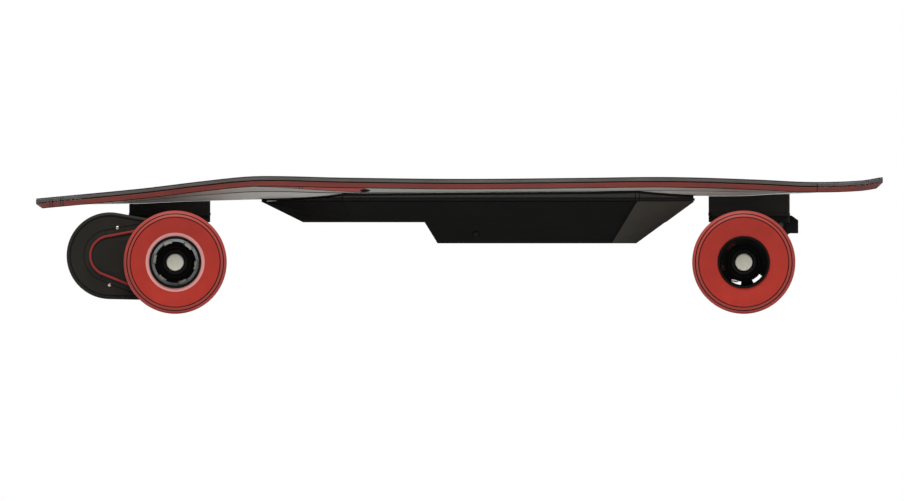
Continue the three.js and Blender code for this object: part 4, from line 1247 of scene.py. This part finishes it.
def make_drive():
    place = at(-AXLE_X, 0, AXLE_Z)
    at_motor = place @ at(MOTOR_X, 0, MOTOR_Z)
    make_pulleys(place, at_motor)
    make_belt(place)
    make_cover(place)
    make_cover_lines(place)
    make_cover_back(place)
    make_mount(place)
    make_motor(at_motor)


# ---------------------------------------------------------------- enclosure
WALL_SLOPE = (SHELL_HALF - SHELL_DEEP_HALF) / (SHELL_FLANGE - SHELL_DEEP)


def wall_half(z):
    return SHELL_DEEP_HALF + WALL_SLOPE * (z - SHELL_DEEP)


def plan(level, inset, half, z):
    """The enclosure's outline at one height: a long box with its corners cut off."""
    tail, tail_shoulder, nose_shoulder, nose = SHELL_PLAN[level]
    taper = half / SHELL_HALF
    tip = tail + 2 * inset
    right = [
        (tip, -46 * taper), (max(tail_shoulder + inset, tip + 0.1), -half), (nose_shoulder - inset, -half),
        (nose - 2 * inset, -56 * taper),
    ]
    return [(x, y, z) for x, y in right + [(x, -y) for x, y in reversed(right)]]


def hull(*outlines):
    """The smallest convex body round some outlines, with its flat faces whole."""
    mesh = bpy.data.meshes.new("hull")
    with editing(mesh) as work:
        for outline in outlines:
            for point in outline:
                work.verts.new(Vector(point) * MM)
        made = bmesh.ops.convex_hull(work, input=work.verts)
        spare = [item for item in made["geom_interior"] if isinstance(item, bmesh.types.BMVert)]
        bmesh.ops.delete(work, geom=spare, context="VERTS")
        bmesh.ops.dissolve_limit(work, angle_limit=math.radians(0.5), verts=work.verts, edges=work.edges)
        bmesh.ops.recalc_face_normals(work, faces=work.faces)
    return mesh


def shell_body(inset, floor):
    """The two levels of the enclosure, drawn in from its outer walls and up from its floor."""
    lift = SHELL_SHALLOW + floor
    bed = SHELL_DEEP + floor
    top, middle, bottom = (half - inset for half in (SHELL_HALF, wall_half(lift), wall_half(bed)))
    shallow = hull(plan("flange", inset, top, SHELL_FLANGE), plan("shallow", inset, middle, lift))
    deep = hull(plan("step", inset, middle, lift + 0.5), plan("deep", inset, bottom, bed))
    return joined(shallow, deep)


def skirt(inset, start, stop):
    return hull(*[plan("flange", inset, SHELL_HALF - inset, z) for z in (start, stop)])


def eased(mesh, width, limit=7.0, segments=3):
    """Rounds every corner of a plain faceted body."""
    with editing(mesh) as work:
        bmesh.ops.dissolve_limit(work, angle_limit=math.radians(0.5), verts=work.verts, edges=work.edges)
        sharp = [edge for edge in work.edges
                 if edge.is_manifold and edge.calc_face_angle() > math.radians(limit)]
        bmesh.ops.bevel(work, geom=sharp, offset=width * MM, segments=segments, profile=0.5, affect="EDGES",
                        clamp_overlap=True)
    return mesh


def gland_axis():
    """Where the cable gland stands on the sloping tail corner, and the direction it looks in."""
    tail, tail_shoulder = SHELL_PLAN["flange"][:2]
    tip = Vector((tail, 46, SHELL_FLANGE))
    shoulder = Vector((tail_shoulder, SHELL_HALF, SHELL_FLANGE))
    low = Vector((SHELL_PLAN["shallow"][1], wall_half(SHELL_SHALLOW), SHELL_SHALLOW))
    out = (shoulder - tip).cross(low - shoulder).normalized()
    return tip.lerp(shoulder, 0.58).lerp(low, 0.26), out * math.copysign(1, out.y)


def make_enclosure():
    """A hollow shell cut to the deck, with grooves in its skirt and holes for button, port and gland."""
    under_deck = DECK_THICKNESS + 1.8 + 2 * GAP
    outward = Vector((0, -1, -WALL_SLOPE)).normalized()
    inside = Vector((BUTTON_X, -wall_half(BUTTON_Z), BUTTON_Z)) - outward * 8
    gland_at, gland_out = gland_axis()
    wall, from_z = SHELL_WALL, SHELL_FLANGE - 0.5
    shell = cut(
        eased(joined(shell_body(0, 0), skirt(0, from_z, 140)), 1.1),
        joined(shell_body(wall, wall), skirt(wall, from_z, 150)),
        deck_space(under_deck, 90),
        *[cut(skirt(-3, low, low + 0.7), skirt(0.6, low - 2, low + 3)) for low in (105.5, 108.6)],
        rod(inside, outward, 3.3, 16, 48),
        moved(disc(7.3, 70, 112), PORT_X, 0, PORT_Z),
        rod(gland_at - gland_out * 14, gland_out, 5.3, 34, 40),
    )
    add("enclosure_moulding", shell, "shell", "board", "enclosure_shell", angle=24)

    button = turned([(0, 0), (2.9, 0), (2.9, 8.5), (2.5, 8.9), (1.2, 8.75), (0, 8.7)], 48, 0.15)
    add("button_cap", aligned(button, inside, outward), "button", "power_button", "power_button")
    jack = turned([
        (0, 80), (7, 80), (7, 92), (8.8, 92), (8.8, 93.4), (4.2, 93.4), (4.2, 83), (1.2, 83), (1.2, 90.5),
        (0, 91),
    ], 64, 0.25)
    add("charge_socket", moved(jack, PORT_X, 0, PORT_Z), "rubber", "board", "charge_port")
    gland = turned([
        (3.2, -8), (5, -8), (5, GAP), (7.4, GAP), (7.4, 4), (6.8, 4.6), (6.1, 4.6), (5.9, 5.4), (5.9, 6.2),
        (5.4, 6.6), (5.4, 7.6), (5.2, 9), (3.2, 9),
    ], 48, 0.2)
    gland = aligned(gland, gland_at, gland_out)
    add("cable_gland_body", gland, "rubber", "board", "cable_gland")
    kept("enclosure_gasket", "rubber")
    kept("battery_pack", "battery")
    kept("speed_controller", "board")


# ---------------------------------------------------------------- floor and light
def make_floor():
    half, level = 6.0, -0.0004
    mesh = bpy.data.meshes.new("floor")
    corners = [(x * half, y * half, level) for x, y in ((-1, -1), (1, -1), (1, 1), (-1, 1))]
    mesh.from_pydata(corners, [], [(0, 1, 2, 3)])
    shader = Shader("floor_paint", (0.86, 0.86, 0.86, 1), 0.8, specular=0.1)
    shader.vary(shader.noise(3, 3), 0.01)
    mesh.materials.append(shader.done())
    linked("floor", mesh)


def area_light(name, spot, target, width, height, power):
    data = bpy.data.lights.new(name, "AREA")
    data.shape = "RECTANGLE"
    data.size = width
    data.size_y = height
    data.energy = power
    lamp = linked(name, data)
    lamp.location = spot
    lamp.rotation_euler = (Vector(target) - Vector(spot)).to_track_quat("-Z", "Y").to_euler()


def make_light():
    """Soft light from above and both ends. The camera sees a white backdrop brighter than it lights."""
    world = bpy.data.worlds.new("studio")
    bpy.context.scene.world = world
    world.use_nodes = True
    tree = world.node_tree
    soft = tree.nodes["Background"]
    backdrop = tree.nodes.new("ShaderNodeBackground")
    for shade, strength in ((soft, 0.13), (backdrop, 1.0)):
        shade.inputs["Color"].default_value = (1, 1, 1, 1)
        shade.inputs["Strength"].default_value = strength
    seen = tree.nodes.new("ShaderNodeLightPath")
    blend = tree.nodes.new("ShaderNodeMixShader")
    tree.links.new(seen.outputs["Is Camera Ray"], blend.inputs["Fac"])
    tree.links.new(soft.outputs[0], blend.inputs[1])
    tree.links.new(backdrop.outputs[0], blend.inputs[2])
    tree.links.new(blend.outputs[0], tree.nodes["World Output"].inputs["Surface"])
    area_light("key", (-0.25, -1.0, 2.3), (0, 0, 0.06), 1.8, 0.7, 62)
    area_light("side", (1.9, -1.2, 0.2), (0.1, 0, 0.08), 0.9, 0.5, 6)
    area_light("tail", (-1.9, -1.2, 0.2), (-0.1, 0, 0.08), 0.9, 0.5, 2)
    bpy.context.scene.view_settings.view_transform = "Standard"


make_deck()
for end in ENDS:
    make_riser(end)
    make_bolts(end)
    make_baseplate(end)
    make_hanger(end)
    make_axle(end)
    make_kingpin_stack(end)
    for side in SIDES:
        make_wheel(end, side)
make_drive()
make_enclosure()
make_floor()
make_light()
